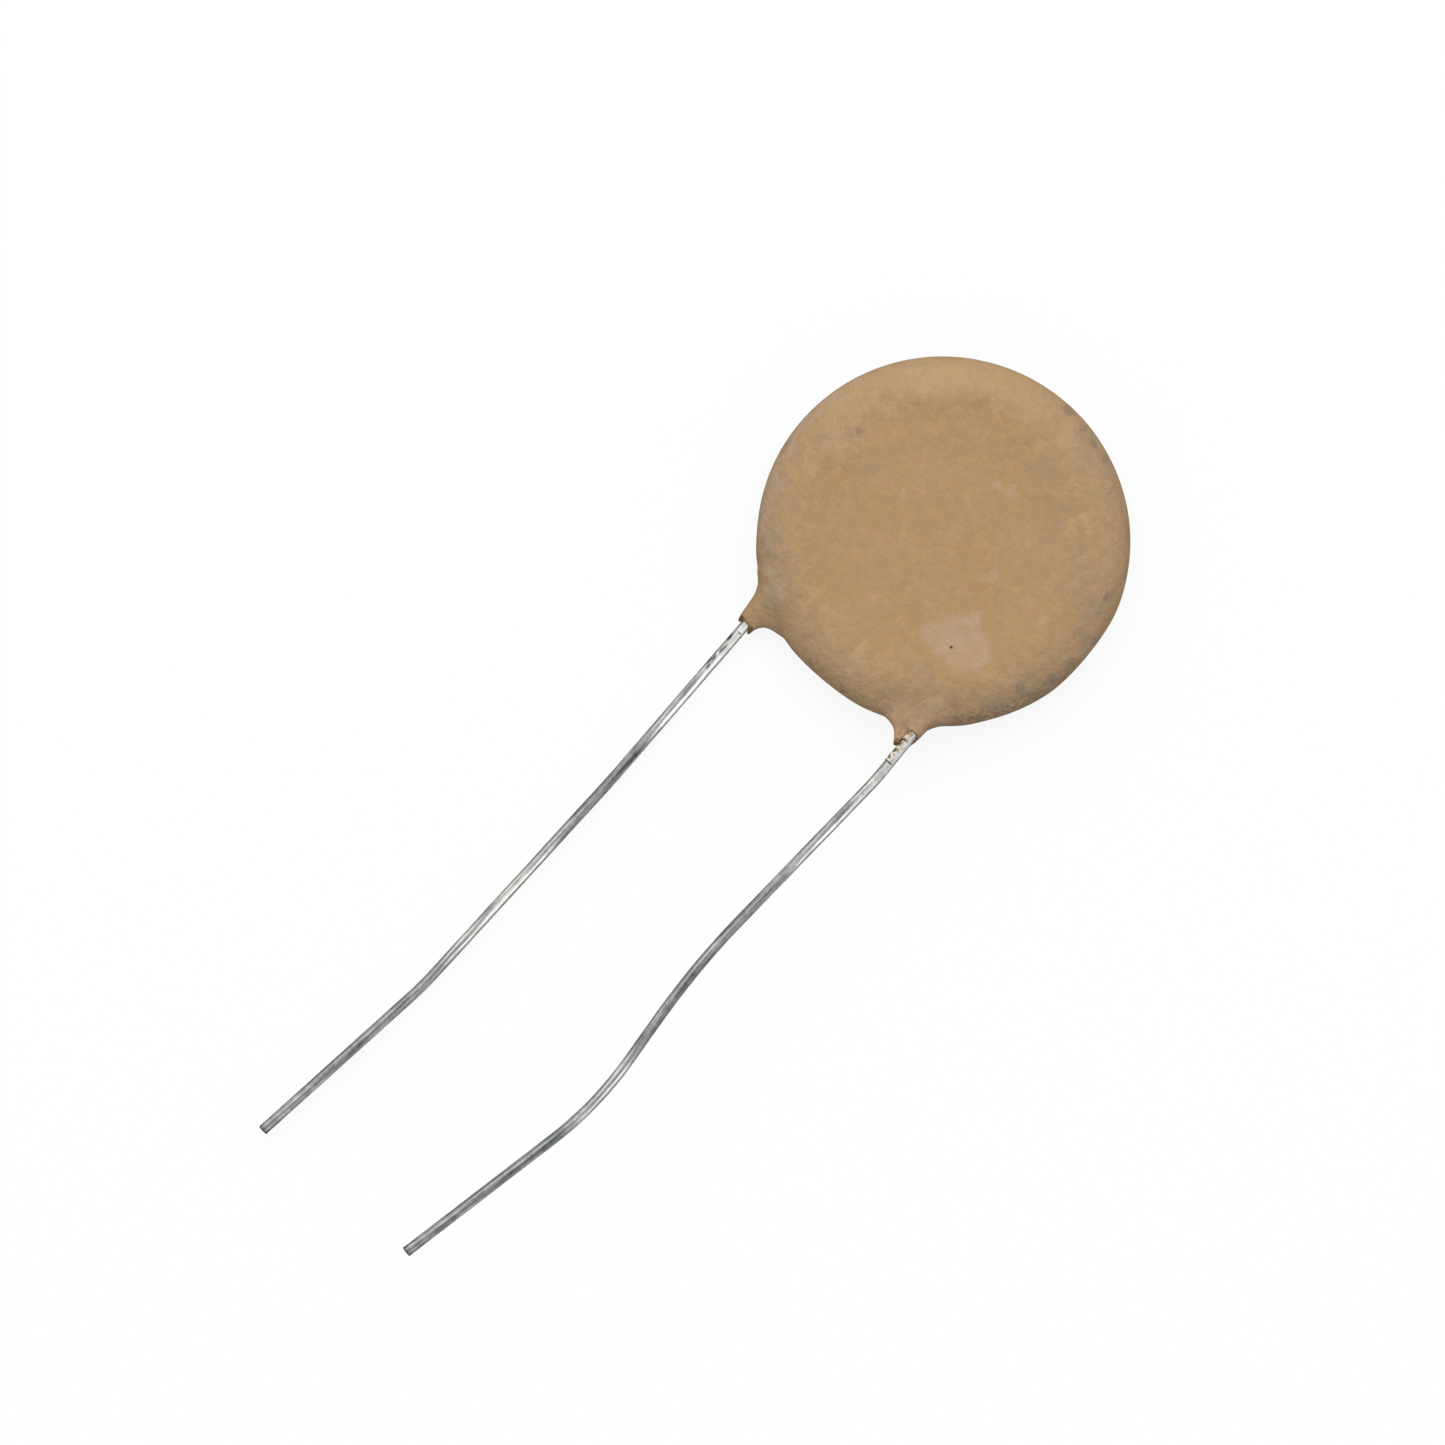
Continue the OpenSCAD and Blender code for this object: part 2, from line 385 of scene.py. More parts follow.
@dataclass(frozen=True)
class ResinFinish:
    """Matt phenolic dip, stoved and waxed.

    It gives the eye a dry tan, faintly mottled by pigment that settled unevenly. Wax has bloomed
    on its rim, dust lies beyond the sunk middle, handling has speckled the edge grey, and the
    resin is dark brown where it runs out to a thin lip. Light and shade are painted in as well:
    lighter on the lit upper left side, the shaded lower rim and the left leg's web, and darker on
    the notch's right side, in the pinholes and on the legs' broken ends.
    """

    body: str = "#B7936A"
    warm: str = "#B48F63"
    cool: str = "#AA8A62"
    shade: str = "#A8845B"
    light: str = "#C6A279"
    gold: str = "#C3A36D"
    umber: str = "#A87F66"
    olive: str = "#A89A70"
    mauve: str = "#B5917A"
    # Dust, and painted light on the lit upper left side, on the left leg's web and between the legs
    dust_and_light: str = "#C3A279"
    # Wax bloom, and painted light that lifts the shaded lower rim and the rim between the legs
    bloom_and_light: str = "#C0A07C"
    haze: str = "#9B8B76"
    # Grey dirt, and painted shade under the right leg's web
    grime_and_shade: str = "#8A7C6D"
    speck: str = "#73604F"
    # Rubbed pale skin, and painted light on the left leg's web and along the rim's left edge
    scuff_and_light: str = "#C2A68B"
    # Dark resin, and painted shade in the pinholes, down the notch's right side and on the legs' broken ends
    dark_resin_and_shade: str = "#67522F"
    roughness: float = 0.78
    uneven: float = 0.08
    pool_mm: float = 3.6
    peel_mm: float = 0.8
    flake_mm: float = 0.5
    speck_mm: float = 0.2
    grain_mm: float = 0.13

    def material(self) -> bpy.types.Material:
        """Builds the material from the painted masks and five noises, from pools down to grain.

        Returns:
            The material.
        """
        material, tree = new_material("matt_phenolic_dip")
        place = place_in_mm(tree)
        pool, peel, flake, specks, fine = (
            add_node(tree, "ShaderNodeTexNoise", {"Vector": place, "Scale": 1 / size, "Detail": detail,
                                                  "Distortion": twist})
            for size, detail, twist in (
                (self.pool_mm, 3.0, 0.0), (self.peel_mm, 4.0, 0.0), (self.flake_mm, 4.0, 0.35),
                (self.speck_mm, 3.0, 0.0), (self.grain_mm, 2.0, 0.0)))
        masks = {name: add_node(tree, "ShaderNodeAttribute", attribute_name=name).outputs["Fac"]
                 for name in ("age", "dust_and_light", "bloom_and_light", "haze", "grime_and_shade", "wear", "scuff_and_light", "dark_resin_and_shade")}
        # Each layer: its colour, the noise that breaks it up, the mask that places it and how much
        # the mask adds to the noise, the range of that sum over which it appears, and its strength
        layers = ((self.warm, pool, None, 0.0, 0.42, 0.6, 0.6),
                  (self.cool, peel, None, 0.0, 0.46, 0.7, 0.5),
                  (self.shade, flake, "age", 0.2, 0.6, 0.82, 0.35),
                  (self.light, flake, "age", -0.2, 0.4, 0.18, 0.35),
                  (self.shade, peel, "age", 0.2, 0.65, 0.86, 0.7),
                  (self.light, peel, "age", -0.2, 0.35, 0.14, 0.6),
                  (self.dust_and_light, peel, "dust_and_light", 0.8, 0.4, 1.2, 0.8),
                  (self.bloom_and_light, peel, "bloom_and_light", 0.6, 0.6, 1.15, 0.8),
                  (self.gold, pool, "dust_and_light", 0.3, 0.74, 0.96, 0.4),
                  (self.umber, flake, "bloom_and_light", -0.3, 0.32, -0.02, 0.55),
                  (self.olive, specks, "age", 0.3, 0.8, 0.98, 0.4),
                  (self.mauve, specks, "age", -0.3, 0.2, 0.02, 0.45),
                  (self.haze, flake, "haze", 0.6, 0.5, 1.3, 0.7),
                  (self.grime_and_shade, flake, "grime_and_shade", 0.7, 0.7, 1.2, 0.6),
                  (self.scuff_and_light, flake, "scuff_and_light", 0.7, 0.6, 1.25, 0.8),
                  (self.speck, specks, "wear", 0.45, 0.84, 1.04, 0.5),
                  (self.dark_resin_and_shade, specks, "dark_resin_and_shade", 0.9, 0.8, 1.4, 1.0))
        colour = linear(self.body)
        for paint_colour, texture, mask, gain, low, high, most in layers:
            share = texture.outputs[0]
            if mask:
                share = add_node(tree, "ShaderNodeMath", {0: masks[mask], 1: gain, 2: share},
                                 operation="MULTIPLY_ADD").outputs[0]
            share = add_node(tree, "ShaderNodeMapRange", {0: share, 1: low, 2: high, 4: most})
            mix = add_node(tree, "ShaderNodeMix", {0: share.outputs[0], MIX_A: colour,
                                                   MIX_B: linear(paint_colour)}, data_type="RGBA")
            colour = mix.outputs[MIX_OUT]
        grain = add_node(tree, "ShaderNodeMapRange", {0: fine.outputs[0], 1: NOISE_LOW, 2: NOISE_HIGH,
                                                      3: 0.95, 4: 1.05})
        colour = add_node(tree, "ShaderNodeVectorMath", {0: colour, 1: grain.outputs[0]},
                          operation="MULTIPLY")
        rough = add_node(tree, "ShaderNodeMapRange", {
            0: peel.outputs[0], 1: NOISE_LOW, 2: NOISE_HIGH,
            3: self.roughness - self.uneven, 4: self.roughness + self.uneven})
        # The skin is smoothest where it has aged least
        relief = add_node(tree, "ShaderNodeMapRange", {0: masks["age"], 3: 0.3, 4: 1.0})
        reliefs = ((peel, 0.08, 0.6), (flake, 0.08, relief.outputs[0]),
                   (specks, 0.035, relief.outputs[0]), (fine, 0.012, 0.6))
        normal = None
        for texture, depth_mm, strength in reliefs:
            bump = add_node(tree, "ShaderNodeBump", {
                "Height": texture.outputs[0], "Distance": depth_mm * MM, "Strength": strength})
            if normal:
                tree.links.new(normal, bump.inputs["Normal"])
            normal = bump.outputs[0]
        shader = add_node(tree, "ShaderNodeBsdfPrincipled", {
            "Base Color": colour.outputs[0], "Roughness": rough.outputs[0], "Normal": normal,
            "IOR": 1.5, "Specular IOR Level": 0.35})
        add_node(tree, "ShaderNodeOutputMaterial", {0: shader.outputs[0]})
        return material


@dataclass(frozen=True)
class TinnedWireFinish:
    """Hot-tinned copper wire, drawn through a die.

    It gives the eye a soft grey metal with fine streaks along the wire. A reflection is painted into
    its colour: a cream white highlight down one side, and duller and bluer where that painted
    reflection is dark, and where dirt lies.
    """

    bright: str = "#FCFBF7"
    dull: str = "#9C9E9C"
    dark_reflection_and_dirt: str = "#43484B"
    sheen: str = "#B9BCBF"
    smoothest: float = 0.44
    roughest: float = 0.6
    streak_mm: float = 0.07
    streak_length_mm: float = 3.2
    streak_depth_mm: float = 0.01
    patch_mm: float = 0.5

    def material(self) -> bpy.types.Material:
        """Builds the material on the coordinates of the wire before it was bent.

        Returns:
            The material.
        """
        material, tree = new_material("tinned_copper_wire")
        straight = add_node(tree, "ShaderNodeAttribute", attribute_name="straight").outputs["Vector"]
        reflection_and_soil = add_node(tree, "ShaderNodeAttribute", attribute_name="reflection_and_soil").outputs["Fac"]
        drawn = add_node(tree, "ShaderNodeMapping", {
            0: straight, 3: (1 / self.streak_mm, 1 / self.streak_length_mm, 1 / self.streak_mm)})
        streak, patch = (
            add_node(tree, "ShaderNodeTexNoise", {"Vector": place, "Scale": scale, "Detail": detail,
                                                  "Roughness": rough})
            for place, scale, detail, rough in ((drawn.outputs[0], 1.0, 2.0, 0.6),
                                                (straight, 1 / self.patch_mm, 5.0, 0.65)))
        # How bright the tin is: the painted reflection with the dirt, and blotches and streaks about it
        shine_level = add_node(tree, "ShaderNodeMath", {0: patch.outputs[0], 1: 0.4, 2: reflection_and_soil},
                        operation="MULTIPLY_ADD")
        shine_level = add_node(tree, "ShaderNodeMath", {0: streak.outputs[0], 1: 1.0, 2: shine_level.outputs[0]},
                        operation="MULTIPLY_ADD")
        # The painted reflection runs from its darkest colour, through dull grey, to a cream highlight
        colour = linear(self.dark_reflection_and_dirt)
        for low, high, tin in ((1.02, 1.34, self.dull), (1.34, 1.67, self.bright)):
            lit = add_node(tree, "ShaderNodeMapRange", {0: shine_level.outputs[0], 1: low, 2: high})
            mix = add_node(tree, "ShaderNodeMix", {0: lit.outputs[0], MIX_A: colour, MIX_B: linear(tin)},
                           data_type="RGBA")
            colour = mix.outputs[MIX_OUT]
        rough = add_node(tree, "ShaderNodeMapRange", {
            0: streak.outputs[0], 1: NOISE_LOW, 2: NOISE_HIGH, 3: self.smoothest, 4: self.roughest})
        bump = add_node(tree, "ShaderNodeBump", {
            "Height": streak.outputs[0], "Distance": self.streak_depth_mm * MM, "Strength": 0.7})
        shader = add_node(tree, "ShaderNodeBsdfPrincipled", {
            "Base Color": colour, "Metallic": 1.0, "Roughness": rough.outputs[0],
            "Normal": bump.outputs[0], "Specular Tint": linear(self.sheen)})
        add_node(tree, "ShaderNodeOutputMaterial", {0: shader.outputs[0]})
        return material


@dataclass(frozen=True)
class GrainFinish:
    """A finish of one colour clouded by a second one, with a fine grain.

    The fields are the material's name, its two colours, metallic, roughness, the sizes of the
    clouds and of the grain, and how softly the clouds fade. All such finishes share the rest: the
    level of noise at which a cloud is half there, how far the grain changes the roughness, and
    how deep the grain is.
    """

    name: str
    main: str
    cloud: str
    metallic: float
    roughness: float
    cloud_mm: float
    grain_mm: float
    fade: float = 0.35
    half_cloud: float = 0.53
    uneven: float = 0.07
    grain_depth_mm: float = 0.01

    def material(self) -> bpy.types.Material:
        """Builds the material from a noise for the clouds and one for the grain.

        Returns:
            The material.
        """
        material, tree = new_material(self.name)
        place = place_in_mm(tree)
        cloud, grain = (
            add_node(tree, "ShaderNodeTexNoise", {"Vector": place, "Scale": 1 / size, "Detail": detail})
            for size, detail in ((self.cloud_mm, 4.0), (self.grain_mm, 3.0)))
        share = add_node(tree, "ShaderNodeMapRange", {
            0: cloud.outputs[0], 1: self.half_cloud - self.fade / 2, 2: self.half_cloud + self.fade / 2})
        colour = add_node(tree, "ShaderNodeMix", {0: share.outputs[0], MIX_A: linear(self.main),
                                                  MIX_B: linear(self.cloud)}, data_type="RGBA")
        rough = add_node(tree, "ShaderNodeMapRange", {
            0: grain.outputs[0], 1: NOISE_LOW, 2: NOISE_HIGH,
            3: self.roughness - self.uneven, 4: self.roughness + self.uneven})
        bump = add_node(tree, "ShaderNodeBump", {
            "Height": grain.outputs[0], "Distance": self.grain_depth_mm * MM, "Strength": 0.6})
        shader = add_node(tree, "ShaderNodeBsdfPrincipled", {
            "Base Color": colour.outputs[MIX_OUT], "Metallic": self.metallic, "Roughness": rough.outputs[0],
            "Normal": bump.outputs[0]})
        add_node(tree, "ShaderNodeOutputMaterial", {0: shader.outputs[0]})
        return material


# Fired barium titanate: a pale buff, matt and close-grained like unglazed porcelain
CERAMIC = GrainFinish("fired_titanate_ceramic", "#CDB993", "#BDA67F", 0.0, 0.6, 1.6, 0.08)
# Silver paste, printed and fired: a white metal, dull because its surface stays slightly porous
SILVER = GrainFinish("fired_silver_paste", "#D8D6CE", "#C2BFB4", 1.0, 0.42, 1.6, 0.06)
# Tin-lead solder, frozen from the melt: bright grey with a faint bloom and cooling grain
SOLDER = GrainFinish("tin_lead_solder", "#BFC1C0", "#A3A5A4", 1.0, 0.25, 0.8, 0.2)
# Resin that ran down a wire and set thin: pale amber with olive flecks, glossier than the dip
RESIN_SKIN = GrainFinish("thin_amber_resin", "#E9E4D8", "#9C8C62", 0.0, 0.3, 0.24, 0.12, 0.16)
# The edge where such a run stopped: thicker, so dark olive brown
RESIN_EDGE = GrainFinish("dark_resin_edge", "#74643F", "#453A26", 0.0, 0.35, 0.3, 0.1)


@dataclass(frozen=True)
class FloorFinish:
    """White card that shows white to the camera and in metal, and keeps the object's shadow."""

    card: str = "#666666"
    glow: float = 0.88

    def material(self) -> bpy.types.Material:
        """Builds the card, with a little glow that only the camera and reflections see.

        Returns:
            The material.
        """
        material, tree = new_material("white_card")
        strength = add_node(tree, "ShaderNodeMath", {0: backdrop_rays(tree), 1: self.glow},
                            operation="MULTIPLY")
        card = add_node(tree, "ShaderNodeBsdfDiffuse", {"Color": linear(self.card)})
        glow = add_node(tree, "ShaderNodeEmission", {"Strength": strength.outputs[0]})
        both = add_node(tree, "ShaderNodeAddShader", {0: card.outputs[0], 1: glow.outputs[0]})
        add_node(tree, "ShaderNodeOutputMaterial", {0: both.outputs[0]})
        return material


# ---- Leads ----


@dataclass(frozen=True)
class Bend:
    """A bend of a wire and the straight run before it, in millimetres and degrees.

    A positive turn goes towards -X.
    """

    run: float
    turn: float
    radius: float


@dataclass
class WireFormer:
    """Draws a wire out of a ring, run by run and bend by bend, and keeps where it went."""

    name: str
    place: Vector
    heading: float
    radius: float
    sides: int = 32
    step: float = 0.25
    along: float = 0.0
    stations: list[tuple[float, float, float, float, float]] = field(default_factory=list)
    piece: bpy.types.Object | None = None

    def __post_init__(self) -> None:
        """Adds the first ring, square to the heading."""
        self.piece = start_ring(self.name, tuple(self.place), self.radius, self.sides,
                                (math.pi / 2, 0, self.heading + math.pi / 2))
        self.note()

    def direction(self) -> Vector:
        """Gives the way the wire goes now."""
        return Vector((math.cos(self.heading), math.sin(self.heading), 0))

    def note(self) -> None:
        """Keeps the place, the heading and the length drawn so far."""
        self.stations.append((*self.place, self.heading, self.along))

    def run(self, length: float) -> None:
        """Draws a straight run of the given length.

        Args:
            length: Length of the run.
        """
        count = max(1, round(length / self.step))
        pull = self.direction() * (length / count)
        for _ in range(count):
            extrude(pull)
            self.place = self.place + pull
            self.along += length / count
            self.note()

    def bend(self, turn: float, radius: float) -> None:
        """Spins the end ring round the middle of a bend.

        Args:
            turn: Angle in degrees, positive towards -X for a wire that runs towards -Y.
            radius: Radius of the wire's centre line.
        """
        side = 1 if turn > 0 else -1
        centre = self.place + side * radius * Vector((math.sin(self.heading), -math.cos(self.heading), 0))
        angle = math.radians(abs(turn))
        count = max(2, round(radius * angle / self.step))
        bpy.ops.mesh.spin(steps=count, angle=angle, center=tuple(centre), axis=(0, 0, side))
        arm = self.place - centre
        for i in range(1, count + 1):
            swing = -side * angle * i / count
            turned = Vector((arm.x * math.cos(swing) - arm.y * math.sin(swing),
                             arm.x * math.sin(swing) + arm.y * math.cos(swing), 0))
            self.place = centre + turned
            self.along += radius * angle / count
            self.heading -= side * angle / count
            self.note()

    def close(self) -> bpy.types.Object:
        """Closes both ends of the wire and leaves edit mode."""
        close_ends(self.sides)
        return self.piece


@dataclass
class Lead:
    """One lead, from its inner end on the silver to its cut tip. Sizes are in millimetres.

    It crosses from the silver to the rim at cross_angle degrees, and then runs its length with its
    bends. A reflection is painted on one side of it in stretches, each listed with where it ends,
    from the inner bend, and how bright it is painted. On the soiled stretch dirt has stuck.
    """

    node: str
    hand: Hand
    bends: tuple[Bend, ...]
    shine_stretches: tuple[tuple[float, PaintedShine], ...]
    soiled: tuple[float, float] = (0, 0)
    neck_y: float = -6.313
    length: float = 37.0
    crossing: float = 10.0
    cross_angle: float = 30.0
    cross_radius: float = 1.5
    # The cut end: how far back the cutters squeezed it, how much wider, and its rounded edge
    nip: float = 0.08
    nip_spread: float = 1.05
    nip_edge: float = 0.03
    # How bright the painted reflection leaves the tin on the side towards -X and on the flank towards
    # +X, and how much duller on the painted dark line, in the painted shade on the -X flank, in the dirt and
    # on the cut
    plain_grey: float = 0.64
    flank_grey: float = 0.54
    dark_line_dull: float = 0.15
    shade_dull: float = 0.13
    soil_dull: float = 0.6
    cut_dull: float = 0.5
    # Over what length one painted stretch goes over into the next. The usual shine of the painted
    # highlight, and how much of what is past it the side towards -X shares
    shine_fade: float = 2.4
    usual_shine: float = 0.65
    shared_shine: float = 0.2
    # Where across the wire, from its middle line, each of these lies
    highlight_across: Band = (-0.03, 0.09)
    flank_across: Band = (0.14, 0.22)
    shade_across: Band = (-0.15, -0.22)
    soil_across: Band = (0.04, -0.06)
    dark_line_at: float = -0.01
    dark_line_width: float = 0.06
    # Over what length the dirt begins and ends, and how broken it is
    soil_start: float = 0.4
    soil_end: float = 0.6
    soil_broken: Band = (-0.1, 0.4)
    # Where the dullness of the cut end begins and is full, along the wire from the cut
    cut_back: Band = (-0.1, -0.05)
    # Where the wire is clear of the legs, and how high its waves and its small lumps stand
    clear_of_legs: Band = (3.4, 4.4)
    waves: float = 0.006
    small_lumps: float = 0.004
    piece: bpy.types.Object | None = None
    blank: bpy.types.Object | None = None
    straight: np.ndarray | None = None

    def start(self) -> tuple[Vector, float]:
        """Finds the wire's inner end.

        Returns:
            The place of the end and the heading there.
        """
        lean = math.radians(self.cross_angle)
        side = self.hand.value
        x = PITCH / 2 - self.cross_radius * (1 - math.cos(lean)) - self.crossing * math.sin(lean)
        y = self.neck_y + self.cross_radius * math.sin(lean) + self.crossing * math.cos(lean)
        return Vector((side * x, y, self.hand.lead_height())), -math.pi / 2 + side * lean

    def build(self) -> None:
        """Draws the wire, keeps a plain copy to cut its bore with, and roughens the wire."""
        place, heading = self.start()
        former = WireFormer(self.node + "_wire", place, heading, WIRE_R)
        former.run(self.crossing)
        former.bend(self.hand.value * self.cross_angle, self.cross_radius)
        inner = former.along
        for bend in self.bends:
            former.run(bend.run)
            former.bend(bend.turn, bend.radius)
        former.run(self.length - (former.along - inner) - self.nip)
        former.run(self.nip)
        bpy.ops.transform.resize(value=(self.nip_spread, 1, 1), center_override=tuple(former.place))
        self.piece = former.close()
        self.trim_tip()
        self.blank = bench_copy(self.piece, 1)
        self.straighten(former.stations, inner)
        self.roughen()

    def trim_tip(self) -> None:
        """Rounds the rims of both cut ends by the little that side cutters leave."""
        take(self.piece)
        for parts in (self.piece.data.vertices, self.piece.data.edges):
            parts.foreach_set("select", np.zeros(len(parts), bool))
        for face in self.piece.data.polygons:
            is_end = len(face.vertices) > 4
            face.select = is_end
        bpy.ops.object.mode_set(mode="EDIT")
        bpy.ops.mesh.select_mode(type="FACE")
        bpy.ops.mesh.bevel(offset=self.nip_edge, segments=2, affect="EDGES")
        bpy.ops.mesh.select_mode(type="VERT")
        bpy.ops.object.mode_set(mode="OBJECT")

    def straighten(self, stations: list[tuple[float, ...]], inner: float) -> None:
        """Works out where each vertex would be on the wire before it was bent.

        Args:
            stations: Place, heading and drawn length of each ring.
            inner: Length drawn before the wire runs straight to the rim.
        """
        rings = np.array(stations)
        places = places_of(self.piece)
        gap = ((places[:, None, :] - rings[None, :, :3]) ** 2).sum(axis=2)
        near = rings[gap.argmin(axis=1)]
        offset = places - near[:, :3]
        ahead = np.stack([np.cos(near[:, 3]), np.sin(near[:, 3])], axis=1)
        across = np.stack([-ahead[:, 1], ahead[:, 0]], axis=1)
        self.straight = np.stack([(offset[:, :2] * across).sum(axis=1),
                                  near[:, 4] + (offset[:, :2] * ahead).sum(axis=1) - inner,
                                  offset[:, 2]], axis=1)

    def roughen(self) -> None:
        """Moves the skin in and out by a hundredth of a millimetre, as tinning leaves it."""
        clear = smooth_step(self.straight[:, 1], *self.clear_of_legs)
        wave = self.waves * lumps(self.straight, 1.3, self.hand.value)
        wave += self.small_lumps * lumps(self.straight, 0.4, 3)
        places = places_of(self.piece)
        normals = np.empty(len(places) * 3, np.float32)
        self.piece.data.vertices.foreach_get("normal", normals)
        shift = (clear * wave)[:, None] * normals.reshape(-1, 3)
        put_places(self.piece, places + shift)

    def shine_along(self, along: np.ndarray) -> np.ndarray:
        """Works out how bright the painted highlight is along the wire.

        Args:
            along: How far each vertex is from the inner bend.

        Returns:
            A level for each vertex.
        """
        shine = np.full(len(along), self.shine_stretches[0][1].value)
        for (end, _), (_, wipe) in zip(self.shine_stretches, self.shine_stretches[1:]):
            share = smooth_step(along - end, -self.shine_fade / 2, self.shine_fade / 2)
            shine += (wipe.value - shine) * share
        return shine

    def reflection_and_soil(self) -> np.ndarray:
        """Works out the painted reflection at each vertex, with the dirt and the cut end.

        Returns:
            A level from 0 for the darkest to 1 for the brightest painted reflection.
        """
        across, along = self.straight[:, 0], self.straight[:, 1]
        shine = self.shine_along(along)
        # A reflection is painted across the wire: the side towards -X is an even grey, a painted dark
        # line parts it from the painted highlight towards +X, and the flank past that is grey again, as
        # painted shade
        level = self.plain_grey + self.shared_shine * (shine - self.usual_shine)
        level += (shine - level) * smooth_step(across, *self.highlight_across)
        level -= self.dark_line_dull * np.exp(-((across - self.dark_line_at) / self.dark_line_width) ** 2)
        level += (self.flank_grey - level) * smooth_step(across, *self.flank_across)
        level -= self.shade_dull * smooth_step(across, *self.shade_across)
        start, end = self.soiled
        soil = smooth_step(along, start, start + self.soil_start) * smooth_step(across, *self.soil_across)
        soil *= smooth_step(along, end, end - self.soil_end)
        soil *= smooth_step(lumps(self.straight * (1, 0.6, 1), 0.17, 21), *self.soil_broken)
        level -= self.soil_dull * soil
        # The cut end is darker: its dull cut face, and a painted dark reflection on its rounded edge
        level -= self.cut_dull * smooth_step(along - self.length, *self.cut_back)
        return level

    def dress(self, finish: bpy.types.Material) -> None:
        """Paints the wire's painted reflection and dirt, and gives it its material.

        Args:
            finish: The tinned wire's material.
        """
        paint(self.piece, "straight", self.straight)
        paint(self.piece, "reflection_and_soil", self.reflection_and_soil())
        self.piece.data.materials.append(finish)
        off_the_bench(self.piece)
        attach(self.piece, "root")
        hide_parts(self.node)


# ---- Coating ----


@dataclass(frozen=True)
class Rib:
    """A ring of a leg: how far out, in and up it reaches at one y. Distances from X are unsigned."""

    y: float
    outer: float
    inner: float
    low: float
    high: float


@dataclass(frozen=True)
class Leg:
    """The coating that ran down one lead: a web that leaves the rim, and a sleeve round the wire.

    A plane through cut_at, square to cut_towards, cuts both off. Each bead is a place, with its
    distance from X unsigned, and a radius.
    """

    hand: Hand
    web: tuple[Rib, ...]
    sleeve: tuple[Rib, ...]
    cut_at: Triple
    cut_towards: Triple
    beads: tuple[tuple[float, float, float, float], ...]
    # How square the web is in section, how a bead is drawn out, and the vertices in each ring
    web_blunt: float = 0.6
    bead_shape: Triple = (0.8, 1.3, 1.0)
    sides: int = 40

    def build(self) -> list[bpy.types.Object]:
        """Draws the web, the sleeve and the beads on its end.

        Returns:
            The pieces that make up the leg.
        """
        beads = (self.bead(*bead) for bead in self.beads)
        return [self.draw(self.web, self.web_blunt), self.draw(self.sleeve, 1), *beads]

    def draw(self, ribs: tuple[Rib, ...], blunt: float) -> bpy.types.Object:
        """Draws a part of the leg out rib by rib, and cuts its end at a slant.

        Args:
            ribs: The ribs from inside the rim to the end.
            blunt: 1 for oval ribs, and less for ribs with squarer corners.

        Returns:
            The part, closed.
        """
        side = self.hand.value
        piece = start_ring("leg", (0, 0, 0), 1.0, self.sides, (math.pi / 2, 0, 0))
        bpy.ops.object.mode_set(mode="OBJECT")
        round_ring = places_of(piece)
        put_places(piece, np.sign(round_ring) * np.abs(round_ring) ** blunt + (0, ribs[0].y, 0))
        bpy.ops.object.mode_set(mode="EDIT")
        previous = Rib(ribs[0].y, 1, -1, -1, 1)
        for i, rib in enumerate(ribs):
            if i > 0:
                extrude((0, rib.y - previous.y, 0))
            self.fit(previous, rib, 1 if i == 0 else side, side)
            previous = rib
        close_ends(self.sides)
        edit_all()
        bpy.ops.mesh.bisect(plane_co=self.cut_at, plane_no=self.cut_towards, use_fill=True,
                            clear_outer=True)
        bpy.ops.object.mode_set(mode="OBJECT")
        return piece

    @staticmethod
    def fit(before: Rib, after: Rib, side_before: int, side_after: int) -> None:
        """Stretches and moves the selected ring from one rib's size and place to the next.

        Args:
            before: The rib that the ring fits now.
            after: The rib that it has to fit.
            side_before: The sign of X on the side where it is.
            side_after: The sign of X on the side where it goes.
        """
        width = (after.outer - after.inner) / (before.outer - before.inner)
        height = (after.high - after.low) / (before.high - before.low)
        x_before = side_before * (before.outer + before.inner) / 2
        x_after = side_after * (after.outer + after.inner) / 2
        z_before = (before.high + before.low) / 2
        z_after = (after.high + after.low) / 2
        bpy.ops.transform.resize(value=(width, 1, height), center_override=(x_before, after.y, z_before))
        bpy.ops.transform.translate(value=(x_after - x_before, 0, z_after - z_before))

    def bead(self, x: float, y: float, z: float, radius: float) -> bpy.types.Object:
        """Adds a bead of resin that set on the end of the leg, drawn out along the wire.

        Args:
            x: Distance of the bead's middle from the YZ plane.
            y: Its place along Y.
            z: Its height.
            radius: Its radius before it is drawn out.

        Returns:
            The bead, on the bench.
        """
        drop_selection()
        bpy.ops.mesh.primitive_ico_sphere_add(subdivisions=3, radius=radius, scale=self.bead_shape,
                                              location=(self.hand.value * x, y, z))
        settle()
        return bpy.context.object


